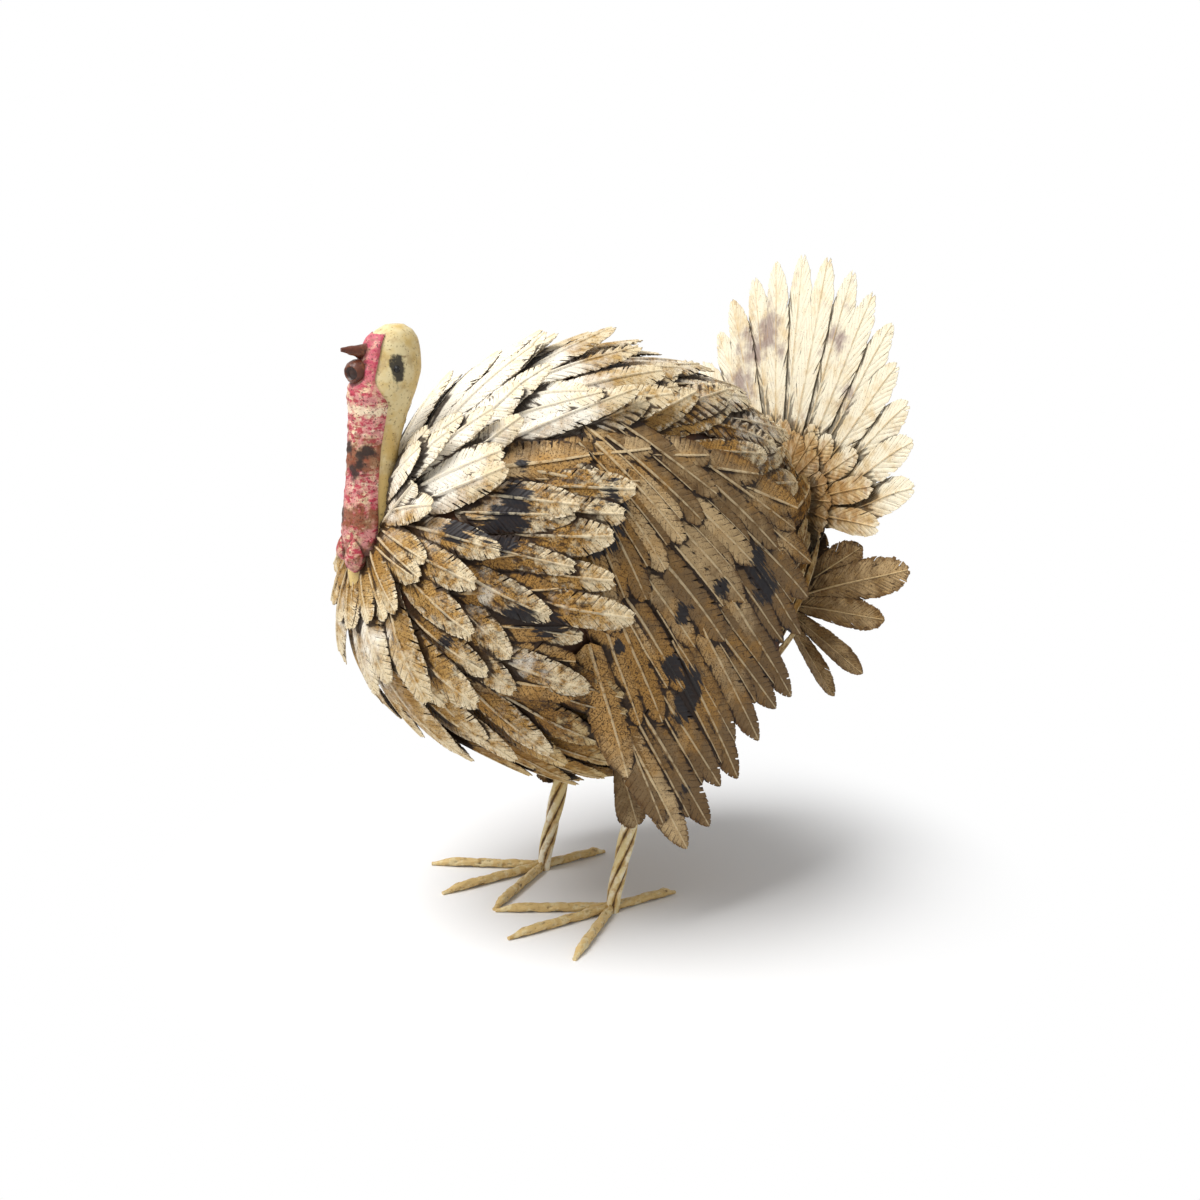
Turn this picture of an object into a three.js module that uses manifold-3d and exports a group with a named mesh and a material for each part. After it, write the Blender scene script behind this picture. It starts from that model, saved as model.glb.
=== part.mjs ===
// Standing turkey figure of welded and painted sheet metal, in millimetres, +Z up, facing -X.
// Two pressed half shells carry rows of pressed feathers, two wings of three feather tiers,
// a raised tail fan, a hollow neck and head, and two twisted-bar legs with four toes each.
import * as THREE from "three";
import { mergeVertices } from "three/addons/utils/BufferGeometryUtils.js";
import Module from "manifold-3d";

const wasm = await Module();
wasm.setup();

// Sheet gauges and clearances
const gap = 0.3; // left between pieces that are seated on each other
const shellWall = 0.9;
const sheet = 0.7; // feather sheet
const neckWall = 1.2;
const overrun = 20; // how far a cutting shape runs past what it cuts
const flats = 0.8; // what the flat facets of a round piece take from a clearance

// Body shell: an egg with its own front and rear length
const body = { centreZ: 333, front: 231, rear: 246, halfWidth: 146, halfHeight: 195 };
const frontPoleRiseShare = 0.34; // the feather rows start round a point above the foremost one
const rearPoleRiseShare = 0.19;
const seamGap = 0.3;
const chestTuckShare = 0.1; // how much flatter the lower front of the egg is
const tuckEndShare = 0.6; // forward place where that is complete

// Feather rows of the body, measured along the shell from the neck to the tail
const firstRow = 48;
const backPitchShare = 0.0894; // from one row to the next, of the shell's length along the back
const bellyPitchShare = 0.0722; // the same along the belly
const sidePitchDropShare = 0.0056; // how much closer the rows are at the sides
const featherWidth = 36;
const rowSeat = 0.45; // a row's root over the shell
// Kinds of row: feather length over row pitch, and a feather's rise over its length
const breastKind = { lengthShare: 1.9, slope: 0.23 };
const bodyKind = { lengthShare: 1.9, slope: 0.16 };
const hindKind = { lengthShare: 1.55, slope: 0.1 }; // the last rows, which lie flat at the tail's root
const ridge = 2; // crown of a feather over its edges
const hem = { valleyShare: 0.56, shoulderShare: 0.91, middleShare: 0.48, shoulderRiseShare: 0.6 };
const shoulderPlaceShare = 0.22; // across one feather, from its edge
const fullRows = 3; // rows that go all the way round, the last one trimmed by the wings
const backReach = [42, 43, 46, 52, 61, 73]; // degrees to each side of the back, rows 4 to 9
const bellyReach = [63, 60, 60, 63, 63, 63, 108, 82]; // degrees from the keel, rows 4 to 11

// Neck and head, lofted from ellipses
const neck = { inset: 10, rise: 7, height: 234, lean: 31.5, halfDepth: 30, halfWidth: 23 };
const neckFootX = neck.inset - body.front; // the foot stands a little behind the shell's front
const neckFootZ = body.centreZ + neck.rise;
const neckTopZ = neckFootZ + neck.height;
// Each line: height, lean, half depth and half width, as shares of the last four sizes above
const neckShares = [
  [0, 0, 0.62, 0.7],
  [0.15, 0.03, 0.65, 0.74],
  [0.22, 0.13, 0.8, 0.83],
  [0.285, 0.17, 0.82, 0.85],
  [0.355, 0.17, 0.74, 0.78],
  [0.44, 0.22, 0.71, 0.75],
  [0.55, 0.31, 0.73, 0.77],
  [0.615, 0.41, 0.79, 0.8],
  [0.685, 0.51, 0.87, 0.87],
  [0.748, 0.6, 1, 1],
  [0.825, 0.81, 0.98, 0.98],
  [0.89, 0.9, 0.88, 0.87],
  [0.94, 0.95, 0.77, 0.76],
  [0.972, 0.98, 0.57, 0.57],
  [0.992, 1, 0.3, 0.3],
];
const throat = { plate: 1.4, bump: 1.6, seat: 1.3, halfAngle: 90, faceHalfAngle: 45 };
const throatShares = { jaw: 0.7, face: 0.82 };
const throatSections = neckShares.slice(1, -1); // it runs from above the foot to below the crown
const wattle = { radius: 9.5, length: 34, back: 0.5, aside: 10, rise: 54 };
const wattleBellyShare = 0.37; // height of its widest place, from the bottom
const smallWattleShare = 0.8;
const eye = { radius: 3.6, sink: 1.6, heightShare: 0.84, angle: 81 };
const beak = { rootInset: 13.5, length: 35, tipRise: 8.5, halfHeight: 10.5, halfWidth: 8 };
const beakTipShare = 0.16;
const lowerBeak = { radius: 10, proud: 2 };
const beakHeightShares = { upper: 0.885, lower: 0.829 };

// Legs and toes
const stance = 124; // from ankle to ankle
const leg = { lean: 44.5, sink: 42, topRadius: 10.5, ankleRadius: 6.8, strandDepth: 1.6, turns: 1.25 };
const legTopZ = body.centreZ - body.halfHeight + leg.sink;
const toe = { halfWidth: 5.2, height: 9.5, tipHeight: 2.4, tipHalfWidth: 1.2, rootRadius: 7.4 };
const toeLengths = { middle: 118, outer: 115, inner: 113, hind: 75 };
const toeSplay = { middle: 0, outer: 38, inner: -32.5, hind: 180 }; // degrees from straight ahead
const toeRootSlopeShare = 0.26; // how fast a toe widens from its root
const toeTaperShare = 0.65; // where it starts to thin
const toeStationShares = [0, 0.1, 0.35, toeTaperShare, 0.88, 1];
// Section of a toe, flat underneath: half width and height
const toeSectionShares = [
  [-0.7, 0],
  [0.7, 0],
  [1, 0.38],
  [0.72, 0.85],
  [0, 1],
  [-0.72, 0.85],
  [-1, 0.38],
];
const thigh = { length: 78, width: 34, forward: 2, drop: 20, slant: 17 };

// Wing: three feather tiers on a thin plate that follows the body's side, hung from the shoulder
const wing = { length: 380, rearRun: 74, tuckRadius: 1500 };
const shoulderShares = { forward: 1 / 3, rise: 0.569 }; // of the shell's front and half height
const wingStraightShare = 0.22; // of the half height: how far below the middle the wing hangs straight
const shoulder = new THREE.Vector2(
  -body.front * shoulderShares.forward,
  body.centreZ + body.halfHeight * shoulderShares.rise,
);
const wingLeastShare = 0.04; // floor under the squared half width, where the wing outruns the egg
// Front of the wing as seen from the side, with room round it: along and down, as shares of its length
const wingFrontShares = [
  [-0.045, 0.48],
  [-0.05, 0.12],
  [-0.028, 0.092],
  [0.012, 0.042],
  [0.044, -0.008],
  [0.075, -0.048],
  [0.117, -0.078],
  [0.18, -0.12],
  [0.4, -0.13],
  [0.4, 0.48],
];
const wingInnerShare = 0.4; // of the body's half width, inside every part of the wing
const wingSeat = 1.9; // plate over the shell
const tierSeat = 2; // first tier over the plate
const tierStep = 2; // from one tier to the next
const covertLength = 102;
const secondaryLength = 128;
const primaryLength = 168;
// Tips of the feathers, from the shoulder towards the tail and down, as shares of the wing's length
const covertTipShares = [
  [0.04, 0.36],
  [0.118, 0.295],
  [0.184, 0.229],
  [0.237, 0.176],
  [0.305, 0.126],
  [0.36, 0.08],
];
const covertSlants = [13, 21.8, 29.7, 35.6, 43, 49]; // degrees from straight down
const secondaryTipShares = [
  [0.09, 0.708],
  [0.192, 0.595],
  [0.25, 0.521],
  [0.366, 0.421],
  [0.416, 0.326],
  [0.46, 0.25],
  [0.54, 0.21],
];
const secondarySlants = [17, 28, 34, 40, 43, 46, 49];
const primaryTipShares = [
  [0.2, 0.86],
  [0.287, 0.955],
  [0.355, 0.911],
  [0.374, 0.805],
  [0.45, 0.8],
  [0.505, 0.722],
  [0.56, 0.64],
  [0.63, 0.62],
  [0.65, 0.47],
];
const primarySlants = [26, 31, 32, 32, 32, 35, 38, 40, 43];
// Wing plate: its front-to-rear place, upper edge and lower edge, as shares of the wing's length
const wingPlateShares = [
  [-0.03, -0.01, 0.3],
  [0.05, -0.03, 0.5],
  [0.15, -0.03, 0.66],
  [0.27, -0.01, 0.72],
  [0.39, 0.07, 0.66],
  [0.49, 0.17, 0.58],
  [0.58, 0.29, 0.5],
];

// Tail: a fan in a plane that leans back, with the lower feathers leaning back the other way
const tail = { standOff: 6, lean: 8, rootRadius: 46, plateRadius: 64, plateThickness: 1 };
const hubRiseShare = 0.19;
const hub = new THREE.Vector3(body.rear + tail.standOff, 0, body.centreZ + body.halfHeight * hubRiseShare);
const fanLength = 246; // from the hub to the highest tip
const fanAngles = [5, 14, 23.5, 33, 43, 54, 65, 78]; // degrees from the top, to each side
const fanReachShares = [1, 0.98, 0.955, 0.915, 0.846, 0.813, 0.793, 0.772];
const fanWidth = 33;
const fanSeat = 0.8; // first layer in front of the middle of the plate
const fanStep = 2.7; // between the layers of the fan
const fanWebDepth = 7; // strip that joins the roots of a layer, to each side of the root radius
const fanWebMargin = 4; // degrees that it runs past the outer blades
const lowAngles = [101, 127, 148, 163.4];
const lowReachShares = [0.732, 0.703, 0.772, 0.833];
const lowWidth = 40;
const tailCovertAngles = [28, 44, 60, 76, 92];
const tailCovertReachShares = [0.455, 0.48, 0.545, 0.593, 0.634];
const tailCovertWidth = 29;
// Half width along a tail feather, from root to tip: place and width as shares
const lanceShares = [
  [0, 0.22],
  [0.25, 0.5],
  [0.5, 0.84],
  [0.72, 1],
  [0.9, 0.7],
];
const paddleShares = [
  [0, 0.26],
  [0.3, 0.55],
  [0.6, 0.95],
  [0.8, 1],
  [0.94, 0.66],
];
const tipWidthShare = 0.12;
const rootCrownShare = 0.3; // how much of its crown a tail feather has beyond its own width share
const boss = { radius: 26, sink: 12 };

// Facets
const eggSides = 28;
const eggRows = 16;
const neckSides = 16;
const throatColumns = 8;
const wattleSteps = 8;
const beadSides = 10;
const beadRows = 8;
const beakRings = 5;
const beakSides = 8;
const legStations = 15;
const legSides = 8;
const wingPlateRows = 7;
const bodyRootSteps = 1; // steps from a feather's root to its middle
const wingRootSteps = 2;
const bossSides = 20;
const plateArcSteps = 14;
const marchSteps = 90; // steps along a meridian of the shell when a length is measured on it
const spreadSteps = 72; // steps across a row of feathers

// Finishes
const paint = {
  cream: [0xd9cbae, 0.6],
  ochre: [0xc3a873, 0.62],
  rust: [0x8c7350, 0.7],
  red: [0xa8544a, 0.55],
  brown: [0x5e3a22, 0.5],
  gold: [0xb9a06a, 0.5],
  dark: [0x2b2723, 0.45],
};
const paintMetalness = 0.35;

const turkey = new THREE.Group();

function finish(name) {
  const [color, roughness] = paint[name];
  return new THREE.MeshStandardMaterial({ color, roughness, metalness: paintMetalness });
}

function addMesh(parent, name, geometry, paintName) {
  const mesh = new THREE.Mesh(geometry, finish(paintName));
  mesh.name = name;
  parent.add(mesh);
  return mesh;
}

const radians = THREE.MathUtils.degToRad;
const mix = THREE.MathUtils.lerp;

// Value at t in a table whose lines start with their own place; column picks what is read.
function readShares(table, t, column) {
  if (t <= table[0][0]) return table[0][column];
  for (let i = 1; i < table.length; i++) {
    const [before, after] = [table[i - 1], table[i]];
    if (t > after[0]) continue;
    const share = (t - before[0]) / (after[0] - before[0]);
    return mix(before[column], after[column], share);
  }
  return table[table.length - 1][column];
}

// Geometry from points and faces, turned outwards if its faces point in.
function closedGeometry(points, faces) {
  let volume = 0;
  for (let i = 0; i < faces.length; i += 3) {
    const [a, b, c] = [points[faces[i]], points[faces[i + 1]], points[faces[i + 2]]];
    volume += a.dot(b.clone().cross(c));
  }
  const index = volume < 0 ? faces.slice().reverse() : faces;
  const geometry = new THREE.BufferGeometry().setFromPoints(points);
  geometry.setIndex(index);
  geometry.computeVertexNormals();
  return geometry;
}

function toSolid(geometry) {
  const bare = geometry.clone();
  bare.deleteAttribute("normal");
  bare.deleteAttribute("uv");
  const merged = mergeVertices(bare);
  const vertProperties = new Float32Array(merged.getAttribute("position").array);
  const triVerts = new Uint32Array(merged.index.array);
  return new wasm.Manifold(new wasm.Mesh({ numProp: 3, vertProperties, triVerts }));
}

function toGeometry(solid) {
  const mesh = solid.getMesh();
  const position = new THREE.BufferAttribute(new Float32Array(mesh.vertProperties), 3);
  const geometry = new THREE.BufferGeometry().setAttribute("position", position);
  geometry.setIndex(new THREE.BufferAttribute(new Uint32Array(mesh.triVerts), 1));
  geometry.computeVertexNormals();
  return geometry;
}

// The geometry less each cutter, keeping its largest piece where a cut leaves an offcut.
function cut(geometry, ...cutters) {
  let solid = toSolid(geometry);
  for (const cutter of cutters) solid = solid.subtract(toSolid(cutter));
  const pieces = solid.decompose();
  pieces.sort((a, b) => b.volume() - a.volume());
  return toGeometry(pieces[0]);
}

function join(...geometries) {
  let solid = toSolid(geometries[0]);
  for (const other of geometries.slice(1)) solid = solid.add(toSolid(other));
  return toGeometry(solid);
}

// Faces between two rows of points, each point with its place u along the row and its id.
function stitch(before, after, faces) {
  let i = 0;
  let j = 0;
  while (i < before.length - 1 || j < after.length - 1) {
    const beforeLeft = i < before.length - 1;
    const afterDone = j === after.length - 1;
    if (afterDone || (beforeLeft && before[i + 1].u <= after[j + 1].u)) {
      faces.push(before[i].id, before[i + 1].id, after[j].id);
      i += 1;
    } else {
      faces.push(before[i].id, after[j + 1].id, after[j].id);
      j += 1;
    }
  }
}

// A closed sheet: rows of { u, v, rise } from root to hem, placed by place(u, v, lift) for both skins.
// A ring ends where it starts, and its last point of each row is its first again.
function sheetGeometry(rows, place, thickness, ring) {
  const points = [];
  const skins = [0, thickness].map((lift) =>
    rows.map((row) => {
      const line = row.map(({ u, v, rise }, i) => {
        if (ring && i === row.length - 1) return { u, id: -1 };
        points.push(place(u, v, rise + lift));
        return { u, id: points.length - 1 };
      });
      if (ring) line[line.length - 1].id = line[0].id;
      return line;
    }),
  );
  const [inner, outer] = skins;
  const outerFaces = [];
  for (let r = 1; r < rows.length; r++) stitch(outer[r - 1], outer[r], outerFaces);
  const skinPoints = points.length / 2;
  const innerFaces = outerFaces.map((id) => id - skinPoints).reverse();
  const faces = outerFaces.concat(innerFaces);
  stitch(inner[0], outer[0], faces);
  const last = rows.length - 1;
  stitch(outer[last], inner[last], faces);
  if (!ring) {
    for (let r = 1; r < rows.length; r++) {
      const [a, b] = [inner[r - 1][0].id, inner[r][0].id];
      const [c, d] = [outer[r - 1][0].id, outer[r][0].id];
      faces.push(a, c, b, b, c, d);
      const [e, f] = [inner[r - 1].at(-1).id, inner[r].at(-1).id];
      const [g, h] = [outer[r - 1].at(-1).id, outer[r].at(-1).id];
      faces.push(e, f, g, g, f, h);
    }
  }
  return closedGeometry(points, faces);
}

// Rows of points for feathers side by side: straight root, crowned middle and a hem of round tips.
function featherRows(count, rootSteps) {
  const rows = Array.from({ length: rootSteps + 1 }, (_, step) => {
    const [v, crown] = [(hem.middleShare * step) / rootSteps, (ridge * step) / rootSteps];
    return Array.from({ length: 2 * count + 1 }, (_, k) => ({ u: k / 2, v, rise: k % 2 ? crown : 0 }));
  });
  const edge = [];
  const besideRidge = ridge * hem.shoulderRiseShare;
  for (let k = 0; k < count; k++) {
    edge.push({ u: k, v: hem.valleyShare, rise: 0 });
    edge.push({ u: k + shoulderPlaceShare, v: hem.shoulderShare, rise: besideRidge });
    edge.push({ u: k + 0.5, v: 1, rise: ridge });
    edge.push({ u: k + 1 - shoulderPlaceShare, v: hem.shoulderShare, rise: besideRidge });
  }
  edge.push({ u: count, v: hem.valleyShare, rise: 0 });
  return [...rows, edge];
}

// Point of the body shell at angle theta from the neck and angle phi round it, raised by lift.
function bodyPoint(theta, phi, lift) {
  const [c, s] = [Math.cos(theta), Math.sin(theta)];
  const rise = (c > 0 ? frontPoleRiseShare : rearPoleRiseShare) * c * c;
  const d = new THREE.Vector3(-c, s * Math.sin(phi), s * Math.cos(phi) + rise).normalize();
  const size = new THREE.Vector3(d.x < 0 ? body.front : body.rear, body.halfWidth, body.halfHeight);
  const normal = d.clone().divide(size).normalize();
  const point = d.multiply(size);
  point.z = body.centreZ + tuckedHeight(point.x, point.z);
  return point.addScaledVector(normal, lift);
}

// Height over the egg's centre once the lower front is drawn up.
function tuckedHeight(x, height) {
  if (x > 0 || height > 0) return height;
  return height * (1 - chestTuckShare * THREE.MathUtils.smoothstep(-x / body.front, 0, tuckEndShare));
}

// Lengths along the shell from the neck's pole, one for each step of angle theta, on meridian phi.
function meridianRuns(phi) {
  const runs = [0];
  for (let i = 1; i <= marchSteps; i++) {
    const [before, here] = [i - 1, i].map((k) => bodyPoint((Math.PI * k) / marchSteps, phi, 0));
    runs.push(runs[i - 1] + here.distanceTo(before));
  }
  return runs;
}

// Angle theta at a distance from the neck's pole along a meridian.
function thetaAt(distance, runs) {
  let i = 1;
  while (i < marchSteps && runs[i] < distance) i += 1;
  const share = Math.min(1, (distance - runs[i - 1]) / (runs[i] - runs[i - 1]));
  return (Math.PI * (i - 1 + share)) / marchSteps;
}

function rowPitch(phi, runs) {
  const share = mix(backPitchShare, bellyPitchShare, (1 - Math.cos(phi)) / 2);
  return (share - sidePitchDropShare * Math.sin(phi) ** 2) * runs[marchSteps];
}

// One row of body feathers of a kind between two angles round the neck, in degrees.
function bodyRow(row, kind, fromAngle, toAngle) {
  const [from, to] = [radians(fromAngle), radians(toAngle)];
  const ring = toAngle - fromAngle === 360;
  const runs = [0];
  const pointAt = (phi, v, lift) => {
    const meridian = meridianRuns(phi);
    const pitch = rowPitch(phi, meridian);
    const along = v * kind.lengthShare * pitch;
    const distance = firstRow + (row - 1) * pitch + along;
    return bodyPoint(thetaAt(distance, meridian), phi, rowSeat + kind.slope * along + lift);
  };
  for (let i = 1; i <= spreadSteps; i++) {
    const here = pointAt(mix(from, to, i / spreadSteps), hem.middleShare, 0);
    const before = pointAt(mix(from, to, (i - 1) / spreadSteps), hem.middleShare, 0);
    runs.push(runs[i - 1] + here.distanceTo(before));
  }
  const total = runs[spreadSteps];
  const count = Math.round(total / featherWidth);
  const phiAt = (u) => {
    const run = (u / count) * total;
    let i = 1;
    while (i < spreadSteps && runs[i] < run) i += 1;
    const share = (run - runs[i - 1]) / (runs[i] - runs[i - 1]);
    return mix(from, to, (i - 1 + share) / spreadSteps);
  };
  const place = (u, v, lift) => pointAt(phiAt(u), v, lift);
  return sheetGeometry(featherRows(count, bodyRootSteps), place, sheet, ring);
}

// Closed egg at an offset from the shell, for cutting.
function eggGeometry(offset) {
  const profile = [];
  for (let i = 0; i <= eggRows; i++) {
    const angle = (Math.PI * i) / eggRows;
    profile.push(new THREE.Vector2(Math.sin(angle), -Math.cos(angle)));
  }
  const geometry = new THREE.LatheGeometry(profile, eggSides);
  const position = geometry.getAttribute("position");
  for (let i = 0; i < position.count; i++) {
    const [x, y, z] = [position.getX(i), position.getY(i), position.getZ(i)];
    const along = y * ((y < 0 ? body.front : body.rear) + offset);
    const up = tuckedHeight(along, z * (body.halfHeight + offset));
    position.setXYZ(i, along, x * (body.halfWidth + offset), up);
  }
  geometry.translate(0, 0, body.centreZ);
  const points = [];
  for (let i = 0; i < position.count; i++) {
    points.push(new THREE.Vector3().fromBufferAttribute(position, i));
  }
  return closedGeometry(points, Array.from(geometry.index.array));
}

function boxGeometry(minX, minY, minZ, maxX, maxY, maxZ) {
  const box = new THREE.BoxGeometry(maxX - minX, maxY - minY, maxZ - minZ);
  return box.translate((minX + maxX) / 2, (minY + maxY) / 2, (minZ + maxZ) / 2);
}

// Half of the body shell, to the +Y side when side is 1.
function shellHalf(side) {
  const far = body.rear + overrun;
  const top = body.centreZ + body.halfHeight + overrun;
  const bottom = body.centreZ - body.halfHeight - overrun;
  const wide = body.halfWidth + overrun;
  const away = side > 0 ? [-wide, seamGap / 2] : [-seamGap / 2, wide];
  const slab = boxGeometry(-far, away[0], bottom, far, away[1], top);
  return cut(eggGeometry(0), eggGeometry(-shellWall), slab);
}

// Centre and half sizes of the neck at share t of its height.
function neckSection(t) {
  return {
    z: mix(neckFootZ, neckTopZ, t),
    x: neckFootX + neck.lean * readShares(neckShares, t, 1),
    depth: neck.halfDepth * readShares(neckShares, t, 2),
    width: neck.halfWidth * readShares(neckShares, t, 3),
  };
}

// Point on the neck at share t and an angle from the front, raised by an offset.
function neckPoint(t, angle, offset) {
  const { z, x, depth, width } = neckSection(t);
  const y = (width + offset) * Math.sin(angle);
  return new THREE.Vector3(x - (depth + offset) * Math.cos(angle), y, z);
}

// Closed loft of the neck and head at an offset, down to a foot below the shell's surface.
function neckLoft(offset, drop) {
  const points = [];
  const faces = [];
  const heights = neckShares.map((line) => line[0]);
  heights.forEach((t, r) => {
    for (let k = 0; k < neckSides; k++) {
      const point = neckPoint(t, (2 * Math.PI * k) / neckSides, offset);
      if (r === 0) point.z -= drop;
      points.push(point);
    }
  });
  for (let r = 1; r < heights.length; r++) {
    for (let k = 0; k < neckSides; k++) {
      const next = (k + 1) % neckSides;
      const [a, b] = [(r - 1) * neckSides + k, (r - 1) * neckSides + next];
      const [c, d] = [r * neckSides + k, r * neckSides + next];
      faces.push(a, c, b, b, c, d);
    }
  }
  const foot = new THREE.Vector3(neckFootX, 0, neckFootZ - drop);
  const crown = new THREE.Vector3(neckFootX + neck.lean, 0, neckTopZ + offset);
  points.push(foot, crown);
  const lastRow = (heights.length - 1) * neckSides;
  for (let k = 0; k < neckSides; k++) {
    const next = (k + 1) % neckSides;
    faces.push(points.length - 2, k, next);
    faces.push(points.length - 1, lastRow + next, lastRow + k);
  }
  return closedGeometry(points, faces);
}

// Hollow neck and head in one drawn piece, open at the foot and seated on the shell.
function headAndNape(clear) {
  return cut(neckLoft(0, 0), neckLoft(-neckWall, overrun), clear);
}

// Knobbly face and throat, one thin sheet laid over the front of the neck.
function faceAndThroat(clear) {
  const lastLine = throatSections.length - 1;
  const rows = throatSections.map((_, line) =>
    Array.from({ length: throatColumns + 1 }, (_, column) => ({ u: column, v: line, rise: 0 })),
  );
  const hasKnob = (column, line) =>
    (line + column) % 2 === 0 && line % lastLine !== 0 && column % throatColumns !== 0;
  const place = (column, line, lift) => {
    const t = throatSections[line][0];
    const share = THREE.MathUtils.smoothstep(t, throatShares.jaw, throatShares.face);
    const spread = radians(mix(throat.halfAngle, throat.faceHalfAngle, share));
    const knob = lift > 0 && hasKnob(column, line) ? throat.bump : 0;
    return neckPoint(t, mix(-spread, spread, column / throatColumns), throat.seat + lift + knob);
  };
  return cut(sheetGeometry(rows, place, throat.plate, false), clear);
}

// Loft along a list of rings of points, closed by a flat face at each end.
function loftRings(rings) {
  const sides = rings[0].length;
  const points = rings.flat();
  const faces = [];
  for (let r = 1; r < rings.length; r++) {
    for (let k = 0; k < sides; k++) {
      const next = (k + 1) % sides;
      const [a, b] = [(r - 1) * sides + k, (r - 1) * sides + next];
      faces.push(a, b, a + sides, b, b + sides, a + sides);
    }
  }
  const last = (rings.length - 1) * sides;
  for (let k = 1; k < sides - 1; k++) {
    faces.push(0, k + 1, k);
    faces.push(last, last + k, last + k + 1);
  }
  return closedGeometry(points, faces);
}

// Drop-shaped wattle hanging at the foot of the throat.
function wattleLobe(size, side, clear) {
  const profile = [];
  const power = Math.log(0.5) / Math.log(wattleBellyShare);
  for (let i = 0; i <= wattleSteps; i++) {
    const t = i / wattleSteps;
    const bulge = i % wattleSteps === 0 ? 0 : Math.sin(Math.PI * Math.pow(t, power));
    profile.push(new THREE.Vector2(wattle.radius * size * bulge, wattle.length * size * t));
  }
  const geometry = new THREE.LatheGeometry(profile, beadSides);
  geometry.rotateX(Math.PI / 2);
  const throatFront = neckPoint(throatSections[0][0], 0, 0).x;
  const bottom = neckFootZ + wattle.rise - wattle.length * size;
  geometry.translate(throatFront + wattle.back, side * wattle.aside, bottom);
  return cut(geometry, ...clear);
}

// Upper beak: a short hooked wedge that grows out of the face.
function upperBeak(clear) {
  const root = neckPoint(beakHeightShares.upper, 0, -beak.rootInset);
  const rings = Array.from({ length: beakRings }, (_, r) => {
    const t = r / (beakRings - 1);
    const taper = mix(1, beakTipShare, t);
    const x = root.x - beak.length * t;
    const half = beak.halfHeight * taper;
    const top = root.z + mix(beak.halfHeight, beak.tipRise, t * t);
    return Array.from({ length: beakSides }, (_, k) => {
      const angle = (2 * Math.PI * k) / beakSides;
      const y = beak.halfWidth * taper * Math.cos(angle);
      return new THREE.Vector3(x, y, top + half * (Math.sin(angle) - 1));
    });
  });
  return cut(loftRings(rings), clear);
}

function bead(radius, place, clear) {
  const geometry = new THREE.SphereGeometry(radius, beadSides, beadRows);
  geometry.rotateX(Math.PI / 2);
  geometry.translate(place.x, place.y, place.z);
  return cut(geometry, clear);
}

// Leg of four bars twisted together, thicker towards the body, on a plain round ankle.
function legLoft(side, offset) {
  const ankleZ = toe.height + gap;
  const ring = (x, z, turn, radiusAt) =>
    Array.from({ length: legSides }, (_, k) => {
      const angle = (2 * Math.PI * k) / legSides + turn;
      const radius = radiusAt(k) + offset;
      const y = side * (stance / 2) + radius * Math.sin(angle);
      return new THREE.Vector3(x + radius * Math.cos(angle), y, z);
    });
  const ankle = () => toe.rootRadius - gap;
  const rings = [ring(0, 0, 0, ankle)];
  for (let r = 0; r <= legStations; r++) {
    const t = r / legStations;
    const radius = mix(leg.ankleRadius, leg.topRadius, t);
    const strands = (k) => (k % 2 === 0 ? radius : radius - leg.strandDepth);
    const z = mix(ankleZ, legTopZ, t);
    rings.push(ring(leg.lean * t, z, 2 * Math.PI * leg.turns * t, strands));
  }
  return loftRings(rings);
}

// One toe along +X from its root beside the ankle, flat underneath, thinning to a point.
function toeGeometry(length) {
  const rings = toeStationShares.map((share) => {
    const x = mix(toe.rootRadius, length, share);
    const thin = Math.max(0, share - toeTaperShare) / (1 - toeTaperShare);
    const height = mix(toe.height, toe.tipHeight, thin);
    const halfWidth = Math.min(mix(toe.halfWidth, toe.tipHalfWidth, thin), toeRootSlopeShare * x);
    return toeSectionShares.map(([y, z]) => new THREE.Vector3(x, y * halfWidth, z * height));
  });
  return loftRings(rings);
}

// Rows of points across a single long feather, with its half width read from a table of shares.
function bladeGeometry(widthShares, width, reach, rootRadius) {
  const rows = widthShares.map(([v, share]) => [
    { u: -share, v, rise: 0 },
    { u: 0, v, rise: ridge * Math.min(1, share + rootCrownShare) },
    { u: share, v, rise: 0 },
  ]);
  rows.push([
    { u: -tipWidthShare, v: 1, rise: 0 },
    { u: tipWidthShare, v: 1, rise: 0 },
  ]);
  const place = (u, v, lift) =>
    new THREE.Vector3(-lift, (u * width) / 2, mix(rootRadius, reach, v));
  return sheetGeometry(rows, place, sheet, false);
}

// Feathers of the fan joined at their roots: each blade turned to its angle, to side 1 or -1.
function fanGroup(angles, reachShares, widthShares, width, side) {
  const blades = angles.map((angle, i) => {
    const blade = bladeGeometry(widthShares, width, fanLength * reachShares[i], tail.rootRadius);
    return blade.rotateX(-side * radians(angle));
  });
  const [from, to] = [Math.min(...angles) - fanWebMargin, Math.max(...angles) + fanWebMargin];
  const steps = angles.length + 1;
  const rows = [tail.rootRadius - fanWebDepth, tail.rootRadius + fanWebDepth].map((radius) =>
    Array.from({ length: steps + 1 }, (_, k) => ({ u: mix(from, to, k / steps), v: radius, rise: 0 })),
  );
  const place = (u, v, lift) => {
    const angle = -side * radians(u);
    return new THREE.Vector3(-lift, -v * Math.sin(angle), v * Math.cos(angle));
  };
  return join(sheetGeometry(rows, place, sheet, false), ...blades);
}

// Half width of the wing's surface from the mid-plane at a place along and up the body.
function wingHalfWidth(x, z) {
  const length = x < 0 ? body.front : body.rear + wing.rearRun;
  const straightZ = body.centreZ - body.halfHeight * wingStraightShare;
  const height = (Math.max(z, straightZ) - body.centreZ) / body.halfHeight;
  const inside = Math.max(1 - (x / length) ** 2 - height ** 2, wingLeastShare);
  const below = Math.max(0, straightZ - z);
  return body.halfWidth * Math.sqrt(inside) + wingSeat - below ** 2 / (2 * wing.tuckRadius);
}

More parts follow.
